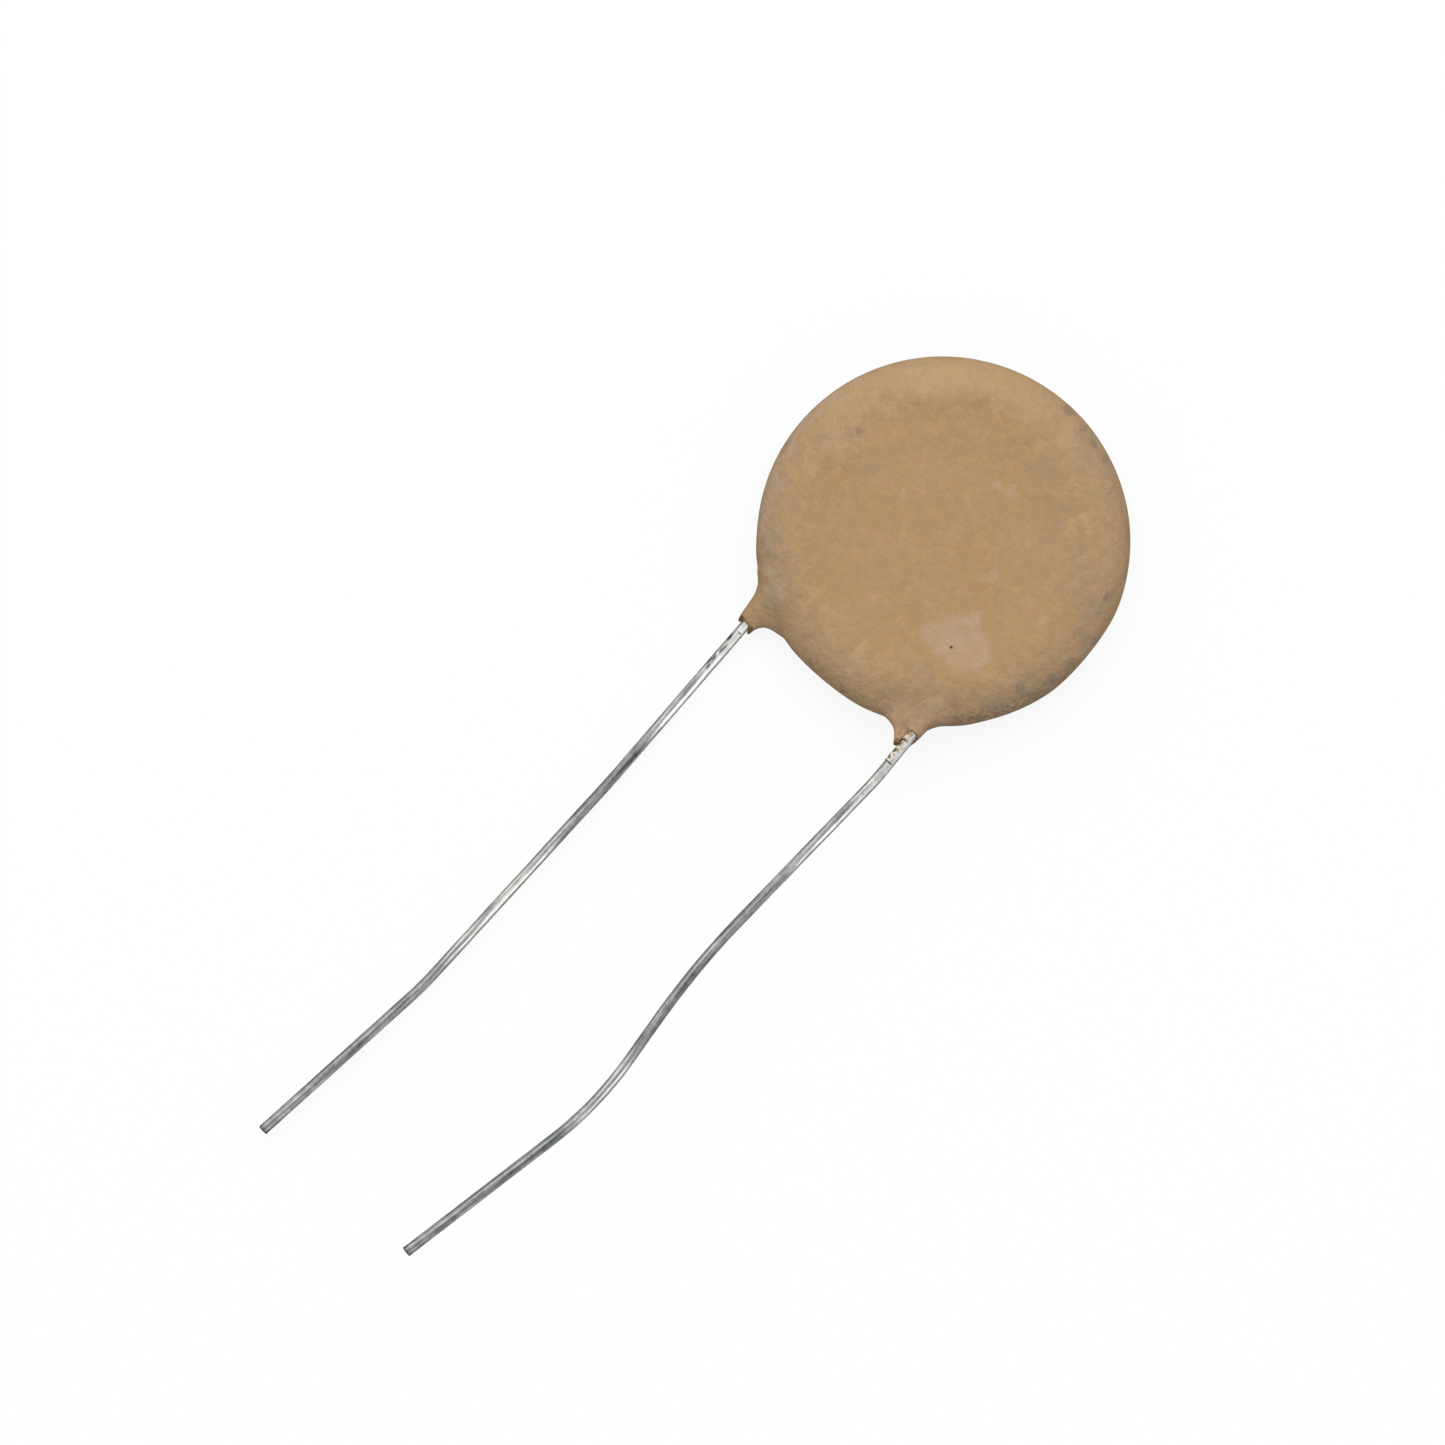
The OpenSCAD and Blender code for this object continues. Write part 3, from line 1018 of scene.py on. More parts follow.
@dataclass(frozen=True)
class Notch:
    """A bay at a leg's end where the resin drew back and left the upper half of the wire bare."""

    x: float
    y: float
    floor: float
    radius: float
    height: float = 0.8
    flare: Triple = (2.6, 1.5, 1)
    ragged: float = 0.03
    reach: float = 2.0
    sides: int = 32

    def cutter(self) -> bpy.types.Object:
        """Makes the bay's shape: an arch in plan, open towards the leg's end and wider at the top.

        Returns:
            The shape, closed, on the bench.
        """
        centre = (self.x, self.y, self.floor)
        piece = start_ring("notch", centre, self.radius, self.sides, (0, 0, 0), "NGON")
        extrude((0, 0, self.height))
        bpy.ops.transform.resize(value=self.flare, center_override=centre)
        bpy.ops.mesh.select_all(action="SELECT")
        bpy.ops.mesh.normals_make_consistent(inside=False)
        bpy.ops.object.mode_set(mode="OBJECT")
        places = places_of(piece)
        places[:, :2] += self.ragged * lumps(places, 0.12, 6)[:, None]
        put_places(piece, places)
        choose(piece, places[:, 1] < self.y - 0.3 * self.radius)
        bpy.ops.transform.translate(value=(0, -self.reach, 0))
        bpy.ops.object.mode_set(mode="OBJECT")
        return piece

    def depth(self, places: np.ndarray) -> np.ndarray:
        """Measures how far each place is outside the arch in plan, negative inside it."""
        beyond = np.maximum(places[:, 1] - self.y, 0)
        return np.hypot(places[:, 0] - self.x, beyond) - self.radius


@dataclass
class ResinRun:
    """Resin that ran on along a wire past its leg and set as a thin ragged skin.

    It covers the wire from start_y to end_y and over a span of degrees round it from +X, skin
    thick. Noise as high as ragged breaks its edges, and the larger bare is, the more it falls
    apart into drops. It is drawn as a tube sunk in the wire, with some to spare at both ends.
    Sizes are in millimetres.
    """

    name: str
    hand: Hand
    start_y: float
    end_y: float
    span: tuple[float, float]
    skin: float
    ragged: float
    bare: float = 0.0
    sunk: float = 0.03
    spare: float = 0.1
    # How steep its edges are, and how far from its end it is rolled up
    edge_slope: Band = (-0.01, 0.03)
    rolled_end: Band = (0.12, 0.04)
    sides: int = 72
    step: float = 0.04
    piece: bpy.types.Object | None = None

    def build(self) -> None:
        """Draws a tube hidden in the wire, and lets it stand out of the wire where the resin lies."""
        hidden = WIRE_R - self.sunk
        x, z = self.hand.value * PITCH / 2, self.hand.lead_height()
        piece = start_ring(self.name, (x, self.start_y + self.spare, z), hidden, self.sides,
                           (math.pi / 2, 0, 0))
        count = math.ceil((self.start_y - self.end_y + 2 * self.spare) / self.step)
        for _ in range(count):
            extrude((0, -self.step, 0))
        close_ends(self.sides)
        places = places_of(piece)
        arm = (places - (x, 0, z)) * (1, 0, 1)
        turn = np.degrees(np.arctan2(arm[:, 2], arm[:, 0])) % 360
        broken = lumps(places, 0.22, 11) + 0.5 * lumps(places, 0.08, 12)
        edge = np.minimum(turn - self.span[0], self.span[1] - turn) * math.pi / 180 * WIRE_R
        ends = np.minimum(self.start_y - places[:, 1], places[:, 1] - self.end_y)
        share = smooth_step(np.minimum(edge, ends) + self.ragged * (broken - self.bare), *self.edge_slope)
        # The end stands up a little, where the run stopped
        rolled = smooth_step(places[:, 1] - self.end_y, *self.rolled_end)
        thick = self.skin * (0.8 + 0.5 * broken + 0.8 * rolled)
        radius = hidden + share * (WIRE_R - hidden + thick)
        put_places(piece, places + arm * (radius / hidden - 1)[:, None])
        self.piece = piece

    def dress(self, finish: bpy.types.Material) -> None:
        """Gives the skin its material, and its place in the model.

        Args:
            finish: The resin's material.
        """
        self.piece.data.materials.append(finish)
        off_the_bench(self.piece, 180)
        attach(self.piece, "root")


@dataclass(frozen=True)
class Spot:
    """A stain on one face of the coating: its middle, its rough radius and how deep it is."""

    x: float
    y: float
    size: float
    depth: float = 1.0
    face: Face = Face.OVER


@dataclass
class Patina:
    """What storing and handling left on the coating's skin, with light and shade painted on it.

    It knows where the coating's vertices are and how far each is inside the sunk middle. Its
    methods paint masks for the resin's material: a value for each vertex, 0 for none and about 1
    for the most. Places are in millimetres, and turns in degrees from +X.
    """

    places: np.ndarray
    inside: np.ndarray
    legs: tuple[Leg, ...]
    notch: Notch
    pinholes: tuple[Triple, ...]

    # Worked out from the places
    x: np.ndarray = field(init=False)
    y: np.ndarray = field(init=False)
    z: np.ndarray = field(init=False)
    reach: np.ndarray = field(init=False)
    turn: np.ndarray = field(init=False)
    broken: np.ndarray = field(init=False)
    clouds: np.ndarray = field(init=False)
    lit_dusty_side: np.ndarray = field(init=False)
    between_legs: np.ndarray = field(init=False)
    left_leg: np.ndarray = field(init=False)

    # Grey stains. The one at (3.1, -8.05), under the right leg's web, is painted shade, and those at
    # (4.6, -7.1) and (5.7, -6.4) darken beside the right leg's root
    spots: tuple[Spot, ...] = (
        Spot(0.77, 8.7, 0.35, 1.1), Spot(8.7, 0.9, 0.4, 0.9), Spot(8.8, -0.9, 0.5, 1.0),
        Spot(7.0, -5.6, 0.25, 1.0), Spot(-8.9, -1.0, 0.3, 0.9), Spot(-6.1, -5.9, 0.24, 0.8),
        Spot(4.6, -7.1, 0.7, 0.7), Spot(4.2, -8.15, 0.35, 0.9), Spot(3.1, -8.05, 0.35, 0.9),
        Spot(5.7, -6.4, 0.5, 0.9), Spot(-8.3, 3.5, 0.3, 0.6), Spot(-6.4, 1.36, 0.15, 1.2),
        Spot(-6.62, 1.42, 0.12), Spot(-6.3, 1.22, 0.2, 0.7), Spot(-5.1, 4.25, 0.14, 0.9),
        Spot(-5.25, 4.05, 0.1, 0.8), Spot(-3.5, 5.5, 0.2, 0.4), Spot(-6.4, -1.2, 0.13, 0.7),
        Spot(-5.0, -1.95, 0.15, 0.7), Spot(-5.9, -3.2, 0.13, 0.7), Spot(8.3, -1.9, 0.3, 0.9),
        Spot(7.4, -3.2, 0.3, 0.8), Spot(8.4, 0.2, 0.25, 0.9), Spot(7.9, 2.9, 0.25, 0.95),
        Spot(8.0, -3.1, 0.25, 1.0), Spot(1.9, 8.45, 0.2, 1.0), Spot(2.7, 8.2, 0.22, 1.0),
        Spot(3.6, 7.9, 0.2, 0.9), Spot(4.4, 7.4, 0.2, 0.5), Spot(-3.0, 6.6, 0.7, 0.7, Face.UNDER),
        Spot(5.0, 3.4, 0.9, 0.6, Face.UNDER), Spot(-6.6, -1.6, 0.8, 0.7, Face.UNDER),
        Spot(1.4, -5.6, 1.0, 0.5, Face.UNDER))
    # Wide faint smudges left by fingers
    smudges: tuple[Spot, ...] = (
        Spot(1.7, 5.6, 0.8, 0.55), Spot(3.1, 4.7, 0.9, 0.4), Spot(3.9, 3.8, 0.8, 0.55),
        Spot(5.6, 3.1, 0.9, 0.4), Spot(7.6, 1.8, 0.8, 0.8), Spot(2.9, 7.1, 0.7, 0.6),
        Spot(3.6, 7.9, 0.7, 0.7), Spot(2.2, 8.3, 0.5, 0.7), Spot(8.0, -2.4, 0.7, 0.5),
        Spot(6.9, -2.7, 0.7, 0.4), Spot(6.9, -4.6, 0.7, 0.5), Spot(5.0, -5.5, 0.8, 0.4),
        Spot(4.3, -7.7, 0.6, 0.3), Spot(2.5, -7.3, 0.8, 0.3), Spot(-5.2, -6.6, 0.8, 0.6),
        Spot(-6.4, -5.5, 0.8, 0.8), Spot(-4.6, -7.7, 0.32, 1.1), Spot(-4.3, -3.9, 0.7, 0.4),
        Spot(-5.0, 0.2, 0.7, 0.35), Spot(-7.9, -3.0, 0.5, 0.6), Spot(-3.2, 5.9, 0.7, 0.3),
        Spot(-7.3, 0.2, 1.0, 0.35), Spot(5.9, 2.2, 0.9, 0.4), Spot(3.3, -5.6, 0.8, 0.5))
    # Flecks where the skin is chalky, and painted light on the left leg's web, which slopes away from
    # the lamp, at (-4.7, -7.1), (-5.5, -6.5) and (-6.4, -5.3)
    flecks: tuple[Spot, ...] = (
        Spot(0.35, 3.65, 0.26, 0.8), Spot(1.1, 3.75, 0.34, 0.8), Spot(0.1, 0.35, 0.34, 0.5),
        Spot(2.95, 0.1, 0.34, 0.5), Spot(3.3, 2.4, 0.3, 0.5), Spot(-6.07, 5.6, 0.14), Spot(-3.0, 0.6, 0.14),
        Spot(0.3, -7.1, 0.24, 0.8), Spot(0.5, -7.8, 0.2, 0.8), Spot(2.0, -5.3, 0.3, 0.5),
        Spot(-2.2, 7.1, 0.2, 0.5), Spot(-7.9, -3.1, 0.45, 0.9), Spot(-4.7, -7.1, 0.6, 1.1),
        Spot(-5.5, -6.5, 0.5, 0.5), Spot(-6.4, -5.3, 0.6, 0.5))
    # Where the resin is darkest: dregs at the ends of the legs. The one at (5.14, -8.45), on the
    # notch's steep right side, is painted shade
    dregs: tuple[Spot, ...] = (
        Spot(4.37, -8.93, 0.13, 0.9), Spot(4.25, -8.6, 0.15, 0.6), Spot(4.25, -8.36, 0.14, 0.65),
        Spot(4.45, -8.2, 0.13, 0.65), Spot(5.02, -8.0, 0.12, 0.3), Spot(5.14, -8.45, 0.08, 0.8),
        Spot(-5.15, -9.05, 0.08, 0.5, Face.UNDER), Spot(-4.5, -9.1, 0.1, 0.6, Face.UNDER))
    # Outline of the rubbed patch low on the upper face
    rubbed: tuple[tuple[float, float], ...] = (
        (1.85, -4.0), (2.2, -3.3), (2.45, -2.75), (2.95, -2.3), (3.3, -1.8), (3.65, -1.6), (4.0, -2.0),
        (4.5, -2.3), (5.05, -2.6), (5.4, -3.0), (5.5, -3.4), (5.2, -3.9), (4.5, -4.5), (3.9, -4.75),
        (3.1, -4.75), (2.1, -4.4))

    # The parts of the skin: the dusty side, which is the lit side, by y less x, then the stretch
    # between the legs and the left leg, both by y and by x
    lit_dusty_corner: Band = (6.0, 11.5)
    gap_top: Band = (-6.6, -7.8)
    gap_side: Band = (3.4, 2.4)
    leg_top: Band = (-6.7, -7.6)
    leg_side: Band = (-3.9, -4.8)
    # Age: how much there is in the sunk middle, and where it grows, by the distance from that
    # middle and by reach
    youngest: float = 0.35
    aged_edge: Band = (-0.6, 0.9)
    aged_reach: Band = (5.8, 7.6)
    # Dust and painted light: where it starts beyond the sunk middle, and how much lies on the leg and
    # between the legs, where it is painted light
    dust_edge: Band = (-0.2, 0.9)
    leg_dust_and_light: float = 1.6
    gap_dust_and_light: float = 0.65
    # Bloom and painted light: its reach, the far left by degrees off 180, how much is missing there
    # and on the left leg, and how much there is between the legs, where it is painted light
    bloom_reach: Band = (6.3, 8.5)
    far_left: Band = (35, 10)
    far_left_bare: float = 0.5
    leg_bare: float = 0.7
    gap_bloom_and_light: float = 0.7
    # Wear: the rim by reach and by z, its worst turn and the span round that, the lower edge
    # between the legs, the patches, and a darkening round the root of the right leg
    rim_reach: Band = (7.6, 8.8)
    rim_height: Band = (0.6, 1.8)
    worn_turn: float = -28
    worn_span: Band = (34, 12)
    lower_edge: Band = (-8.2, -8.6)
    lower_side: float = 3.6
    lower_wear: float = 0.55
    patch_wear: float = 0.3
    dark_root: tuple[float, float] = (4.9, -7.1)
    root_span: Band = (1.2, 0.5)
    root_darkening: float = 0.4
    # Grime: the flank by reach and by how far it is off the middle plane, clear of the legs by y
    # or by x, where the blots stop, and how much there is of each kind
    flank_reach: Band = (8.4, 8.75)
    flank_height: Band = (0.75, 0.45)
    above_legs: Band = (-7.4, -6.6)
    inside_legs: Band = (3.2, 2.6)
    blots_above: float = -7
    blot_grime: float = 0.5
    wear_grime: float = 0.25
    flank_grime: float = 0.08
    bloom_grime: float = 0.6
    # Scuff and painted highlight: the patch by the distance inside it, and its fainter foot; the nose
    # by reach, pale on the left round one turn, rubbed and partly a painted highlight, and less on both
    # sides round one y
    patch_edge: Band = (-0.45, 0.5)
    patch_foot: Band = (-4.8, -3.9)
    patch_scuff: float = 0.85
    nose_reach: Band = (8.1, 8.8)
    pale_turn: float = 188
    pale_span: Band = (50, 20)
    pale_y: float = -2.5
    pale_rise: Band = (4.5, 2.5)
    sides_scuff: float = 0.5
    # Dark resin and painted shade: a pinhole's edge in radii, its inside painted dark as shade; the
    # line round the notch, its head and its right side, where it is painted shade
    hole_edge: Band = (1.3, 0.7)
    line_depth: float = 0.05
    line_edge: Band = (0.09, 0.05)
    line_ragged: float = 0.03
    head_top: Band = (-8.36, -8.26)
    head_side: Band = (4.45, 4.65)
    right_side: Band = (4.95, 5.05)
    right_shade: float = 0.75
    line_over: float = 2.8
    line_below: float = -7.9
    # A leg's dark end, dark resin and painted shade on the broken face: how dark it is over the wire,
    # how far from the middle the wire and the leg end, how high up the end can be, and how near the cut
    # it begins
    over_wire: float = 0.55
    wire_side: Band = (0.2, 0.35)
    end_side: float = 0.75
    end_below: float = -8.6
    end_edge: Band = (-0.05, 0.0)
    # A spot: how far it creeps round from its own face, how ragged it is, and its edge in times
    # its size
    face_edge: Band = (-0.6, 0.1)
    spot_ragged: float = 0.7
    spot_edge: Band = (1.5, 0.3)

    def __post_init__(self) -> None:
        """Measures the vertices, and marks the parts of the skin that age in their own way."""
        self.x, self.y, self.z = self.places.T
        self.reach = np.hypot(self.x, self.y)
        self.turn = np.degrees(np.arctan2(self.y, self.x))
        self.broken = lumps(self.places, 0.55, 4)
        self.clouds = lumps(self.places, 1.6, 8) + 0.5 * self.broken
        self.lit_dusty_side = smooth_step(self.y - self.x, *self.lit_dusty_corner)
        self.between_legs = smooth_step(self.y, *self.gap_top) * smooth_step(np.abs(self.x), *self.gap_side)
        self.left_leg = smooth_step(self.y, *self.leg_top) * smooth_step(self.x, *self.leg_side)

    def masks(self) -> dict[str, np.ndarray]:
        """Gathers the masks under the names that the resin's material reads."""
        return {"age": self.age(), "dust_and_light": self.dust_and_light(), "bloom_and_light": self.bloom_and_light(), "haze": self.haze(),
                "grime_and_shade": self.grime_and_shade(), "wear": self.wear(), "scuff_and_light": self.scuff_and_light(), "dark_resin_and_shade": self.dark_resin_and_shade()}

    def age(self) -> np.ndarray:
        """Paints how far the skin has aged: least in the sunk middle, and most towards the rim.

        Returns:
            A value for each vertex.
        """
        beyond = smooth_step(-self.inside, *self.aged_edge)
        outer = np.maximum(beyond, smooth_step(self.reach, *self.aged_reach))
        return self.youngest + (1 - self.youngest) * outer

    def dust_and_light(self) -> np.ndarray:
        """Paints the dust beyond the sunk middle, with painted light on the lit upper left, on the left leg
        and between the legs.
        """
        lying = self.lit_dusty_side * smooth_step(-self.inside, *self.dust_edge) * (0.95 + 0.5 * self.clouds)
        return np.maximum.reduce([lying, self.leg_dust_and_light * self.left_leg, self.gap_dust_and_light * self.between_legs])

    def bloom_and_light(self) -> np.ndarray:
        """Paints the wax bloom on the shoulder, with painted light that lifts the shaded lower rim, fainter
        on the far left and the left leg, and painted light between the legs.

        Returns:
            A value for each vertex.
        """
        far_left = smooth_step(np.abs(np.abs(self.turn) - 180), *self.far_left)
        shoulder = (1 - self.lit_dusty_side) * (1 - self.between_legs)
        shoulder *= smooth_step(self.reach, *self.bloom_reach) * np.clip(0.8 + 0.6 * self.clouds, 0, 1)
        shoulder *= (1 - self.far_left_bare * far_left) * (1 - self.leg_bare * self.left_leg)
        return np.maximum(shoulder, self.gap_bloom_and_light * self.between_legs)

    def haze(self) -> np.ndarray:
        """Paints the wide faint smudges left by fingers."""
        return self.spread(self.smudges, self.broken + 0.6 * lumps(self.places, 0.25, 15))

    def worn_rim(self) -> np.ndarray:
        """Paints where the rim has rubbed: at the lower right, between the legs and in patches.

        Returns:
            A value for each vertex.
        """
        rim = smooth_step(self.reach, *self.rim_reach) * (0.3 + 0.7 * smooth_step(self.z, *self.rim_height))
        lower_right = smooth_step(np.abs(self.turn - self.worn_turn), *self.worn_span)
        lower_edge = smooth_step(self.y, *self.lower_edge) * (np.abs(self.x) < self.lower_side)
        lower_edge *= self.lower_wear
        patches = self.patch_wear * (0.5 + self.clouds) * (1 - self.lit_dusty_side)
        return rim * np.clip(lower_right + lower_edge + patches, 0, 1)

    def wear(self) -> np.ndarray:
        """Paints the worn rim, and darkens round the root of the right leg.

        Returns:
            A value for each vertex.
        """
        x, y = self.dark_root
        root = smooth_step(np.hypot(self.x - x, self.y - y), *self.root_span)
        return np.maximum(self.worn_rim(), self.root_darkening * root)

    def grime_and_shade(self) -> np.ndarray:
        """Paints the grey dirt: single stains, blots on the worn rim, and a film where it clings. One
        stain under the right leg's web is painted shade.

        Returns:
            A value for each vertex.
        """
        blots = self.blot_grime * self.worn_rim() * (self.y > self.blots_above)
        blots *= smooth_step(lumps(self.places, 0.45, 21), 0.0, 0.5)
        flank = smooth_step(self.reach, *self.flank_reach)
        flank *= smooth_step(np.abs(self.z - THICK / 2), *self.flank_height)
        flank *= np.maximum(smooth_step(self.y, *self.above_legs),
                            smooth_step(np.abs(self.x), *self.inside_legs))
        on_wear = self.wear_grime * self.wear() * (0.5 + 0.6 * self.clouds)
        on_bloom = self.bloom_grime * self.bloom_and_light() * smooth_step(lumps(self.places, 1.1, 14), 0.05, 0.45)
        stains = self.spread(self.spots, self.broken)
        return np.maximum.reduce([stains, blots, on_wear, self.flank_grime * flank, on_bloom])

    def scuff_and_light(self) -> np.ndarray:
        """Paints what is rubbed pale: the patch, the chalky flecks and the sides of the rim, with painted
        light on the left leg's web and a painted highlight along the rim's left edge.

        Returns:
            A value for each vertex.
        """
        patch = smooth_step(self.inside_patch() + 0.2 * self.broken, *self.patch_edge)
        patch *= self.z > THICK / 2
        patch *= 0.8 + 0.2 * smooth_step(self.y, *self.patch_foot)
        patch *= 1.0 + 0.45 * lumps(self.places, 0.6, 18)
        flecks = self.spread(self.flecks, 1.1 * lumps(self.places, 0.24, 9))
        left = smooth_step(np.abs((self.turn + 360) % 360 - self.pale_turn), *self.pale_span)
        sides = self.sides_scuff * smooth_step(np.abs(self.y - self.pale_y), *self.pale_rise)
        rim = np.maximum(left, sides) * smooth_step(self.reach, *self.nose_reach)
        rim *= 0.95 + 1.3 * lumps(self.places, 0.5, 17)
        return np.maximum.reduce([self.patch_scuff * patch, flecks, rim])

    def dark_resin_and_shade(self) -> np.ndarray:
        """Paints the dark resin and painted shade: the notch's edge, the dregs, the pinholes and the legs'
        ends.

        Returns:
            A value for each vertex.
        """
        holes = [smooth_step(np.hypot(self.x - x, self.y - y) / radius, *self.hole_edge) * (self.z > 3)
                 for x, y, radius in self.pinholes]
        dregs = self.spread(self.dregs, 0.5 * self.broken)
        return np.maximum.reduce([self.notch_edge(), dregs, *holes, *map(self.leg_end, self.legs)])

    def notch_edge(self) -> np.ndarray:
        """Paints the dark line round the notch, strong at its head, and as painted shade weaker down its
        steep right side.

        Returns:
            A value for each vertex.
        """
        off_line = np.abs(self.notch.depth(self.places) - self.line_depth) + self.line_ragged * self.broken
        line = smooth_step(off_line, *self.line_edge)
        line *= (self.z > self.line_over) * (self.y < self.line_below)
        head = smooth_step(self.y, *self.head_top) * smooth_step(self.x, *self.head_side)
        right = self.right_shade * smooth_step(self.x, *self.right_side)
        return line * np.maximum(head, right)

    def leg_end(self, leg: Leg) -> np.ndarray:
        """Paints the dark end of one leg, dark resin and painted shade, weaker over the wire.

        Args:
            leg: The leg.

        Returns:
            A value for each vertex.
        """
        towards = Vector(leg.cut_towards).normalized()
        gap = (self.places - np.array(leg.cut_at)) @ np.array(towards)
        aside = np.abs(self.x - leg.cut_at[0])
        dark = self.over_wire + (1 - self.over_wire) * smooth_step(aside, *self.wire_side)
        dark *= (aside < self.end_side) * (self.y < self.end_below)
        return dark * smooth_step(gap + self.line_ragged * self.broken, *self.end_edge)

    def spread(self, spots: tuple[Spot, ...], ragged: np.ndarray) -> np.ndarray:
        """Paints a set of spots.

        Args:
            spots: The spots.
            ragged: Noise that makes their edges ragged.

        Returns:
            How deep the stain is at each vertex.
        """
        total = np.zeros(len(self.places))
        for spot in spots:
            side = smooth_step(spot.face.value * (self.z - THICK / 2), *self.face_edge)
            gap = np.hypot(self.x - spot.x, self.y - spot.y) / spot.size + self.spot_ragged * ragged
            total = np.maximum(total, spot.depth * side * smooth_step(gap, *self.spot_edge))
        return total

    def inside_patch(self) -> np.ndarray:
        """Measures how far each vertex is inside the rubbed patch, negative outside it.

        Returns:
            A distance for each vertex.
        """
        corners = self.rubbed
        crossings = np.zeros(len(self.places), int)
        nearest = np.full(len(self.places), np.inf)
        for (ax, ay), (bx, by) in zip(corners, corners[1:] + corners[:1]):
            side_x, side_y = bx - ax, by - ay
            from_x, from_y = self.x - ax, self.y - ay
            share = np.clip((from_x * side_x + from_y * side_y) / (side_x ** 2 + side_y ** 2), 0, 1)
            nearest = np.minimum(nearest, np.hypot(from_x - share * side_x, from_y - share * side_y))
            if side_y:
                spans = (ay > self.y) != (by > self.y)
                crossings += spans & (from_x < side_x * from_y / side_y)
        return np.where(crossings % 2 == 1, nearest, -nearest)


@dataclass
class Coating:
    """The dipped coating: disc, legs and the hollow that its insides fill. Sizes in millimetres.

    Its section is flat out to flat_r, falls away over a shoulder of shoulder_r and turns round a
    nose of nose_r round nose_x, which the shoulder meets blend_z above the middle plane and
    blend_out beyond nose_x.
    """

    legs: tuple[Leg, ...]
    notch: Notch
    radius: float = 9.0
    flat_r: float = 6.7
    shoulder_r: float = 2.508
    nose_x: float = 7.8
    nose_r: float = 1.2
    blend_z: float = 0.65
    blend_out: float = 1.01
    arc_steps: int = 10
    sides: int = 180
    voxel: float = 0.092
    # How deep the dish and the step at its edge are, the hollow of the back face, and how high
    # the long waves and the small lumps of the skin stand
    dish: float = 0.09
    step: float = 0.045
    back_hollow: float = 0.05
    waves: float = 0.018
    small_lumps: float = 0.006
    # How far the rim is off the circle: all round, most at a turn of long_side degrees, in its
    # lumps and inwards, and then bulged beside the legs' roots, flattened between the legs, and
    # bulged where the left leg's web begins
    off_round: float = 0.065
    long_side: float = 25.0
    rim_lumps: float = 0.015
    rim_inwards: float = 0.005
    root_bulge: float = 0.08
    flattened: float = 0.1
    web_bulge: float = 0.05
    # How much, and over what width, the far right is drawn in, and how far inside the radius the
    # skin stays on both sides
    drawn_in: float = 0.46
    drawn_width: float = 0.4
    inset: float = 0.005
    # How often the legs' roots are smoothed, and by how much each time, and where they are: by y
    # at both ends, and by the distance across from the middle of a root
    root_passes: int = 36
    root_smoothing: float = 0.5
    root_top: Band = (-5.4, -6.6)
    root_foot: Band = (-8.85, -8.5)
    root_x: float = 4.4
    root_side: Band = (2.8, 1.8)
    # How far under a face its shift fades out
    face_skin: Band = (0.9, 0.1)
    # The slopes of the step and of the dish from the dish's edge, and of the hollow from its reach
    step_slope: Band = (0.0, 0.55)
    dish_slope: Band = (0.0, 1.7)
    hollow_reach: float = 6.4
    hollow_slope: Band = (0.0, 1.4)
    # Where, by y less x, the step grows from a share of its height to all of it
    sharp_side: Band = (2.0, 6.5)
    blunt_step: float = 0.4
    # Where the rim is off the circle: by reach, and above the legs
    rim_reach: Band = (6.8, 8.8)
    rim_above: Band = (-8.4, -7.6)
    # The bulge beside the roots, then the flat between the legs and the bulge on it
    root_reach: Band = (7.8, 8.8)
    bulge_y: float = -6.45
    bulge_width: float = 0.75
    flat_width: float = 1.8
    web_x: float = -2.8
    web_width: float = 0.9
    gap_top: Band = (-6.5, -8.6)
    gap_side: Band = (4.2, 3.4)
    piece: bpy.types.Object | None = None

    # Where the upper face is sunk: circles, each a middle and a radius, whose union is the dish
    sunk: tuple[Triple, ...] = (
        (0.2, -0.5, 6.2), (-2.05, 5.24, 1.53), (-4.02, 3.89, 1.22), (-5.58, 2.49, 1.46), (0.6, 3.8, 2.5))
    # Where bubbles burst: a middle and a radius each. A pinhole is a cone: so many radii wide at
    # its top and its bottom, so deep, and with its middle so far under the upper face
    pinholes: tuple[Triple, ...] = ((3.56, -3.83, 0.075),)
    pinhole_top: float = 1.4
    pinhole_bottom: float = 0.3
    pinhole_depth: float = 0.3
    pinhole_sunk: float = 0.1

    def section(self) -> list[tuple[float, float]]:
        """Works out the disc's half section.

        Returns:
            Radius and height of each ring, from the back face up to the front face.
        """
        half = THICK / 2
        centre_z = half - self.shoulder_r
        blend_x = self.nose_x + self.blend_out
        top = math.atan2(self.blend_z - centre_z, blend_x - self.flat_r)
        upper = []
        for i in range(self.arc_steps + 1):
            turn = math.pi / 2 + (top - math.pi / 2) * i / self.arc_steps
            upper.append((self.flat_r + self.shoulder_r * math.cos(turn),
                          centre_z + self.shoulder_r * math.sin(turn)))
        nose = math.asin(self.blend_z / self.nose_r)
        for i in range(1, self.arc_steps // 2):
            turn = nose * (1 - 2 * i / self.arc_steps)
            upper.append((self.nose_x + self.nose_r * math.cos(turn), self.nose_r * math.sin(turn)))
        lower = [(r, -z) for r, z in upper]
        rings = [*lower, (self.radius, 0.0), *reversed(upper)]
        return [(r, z + half) for r, z in rings]

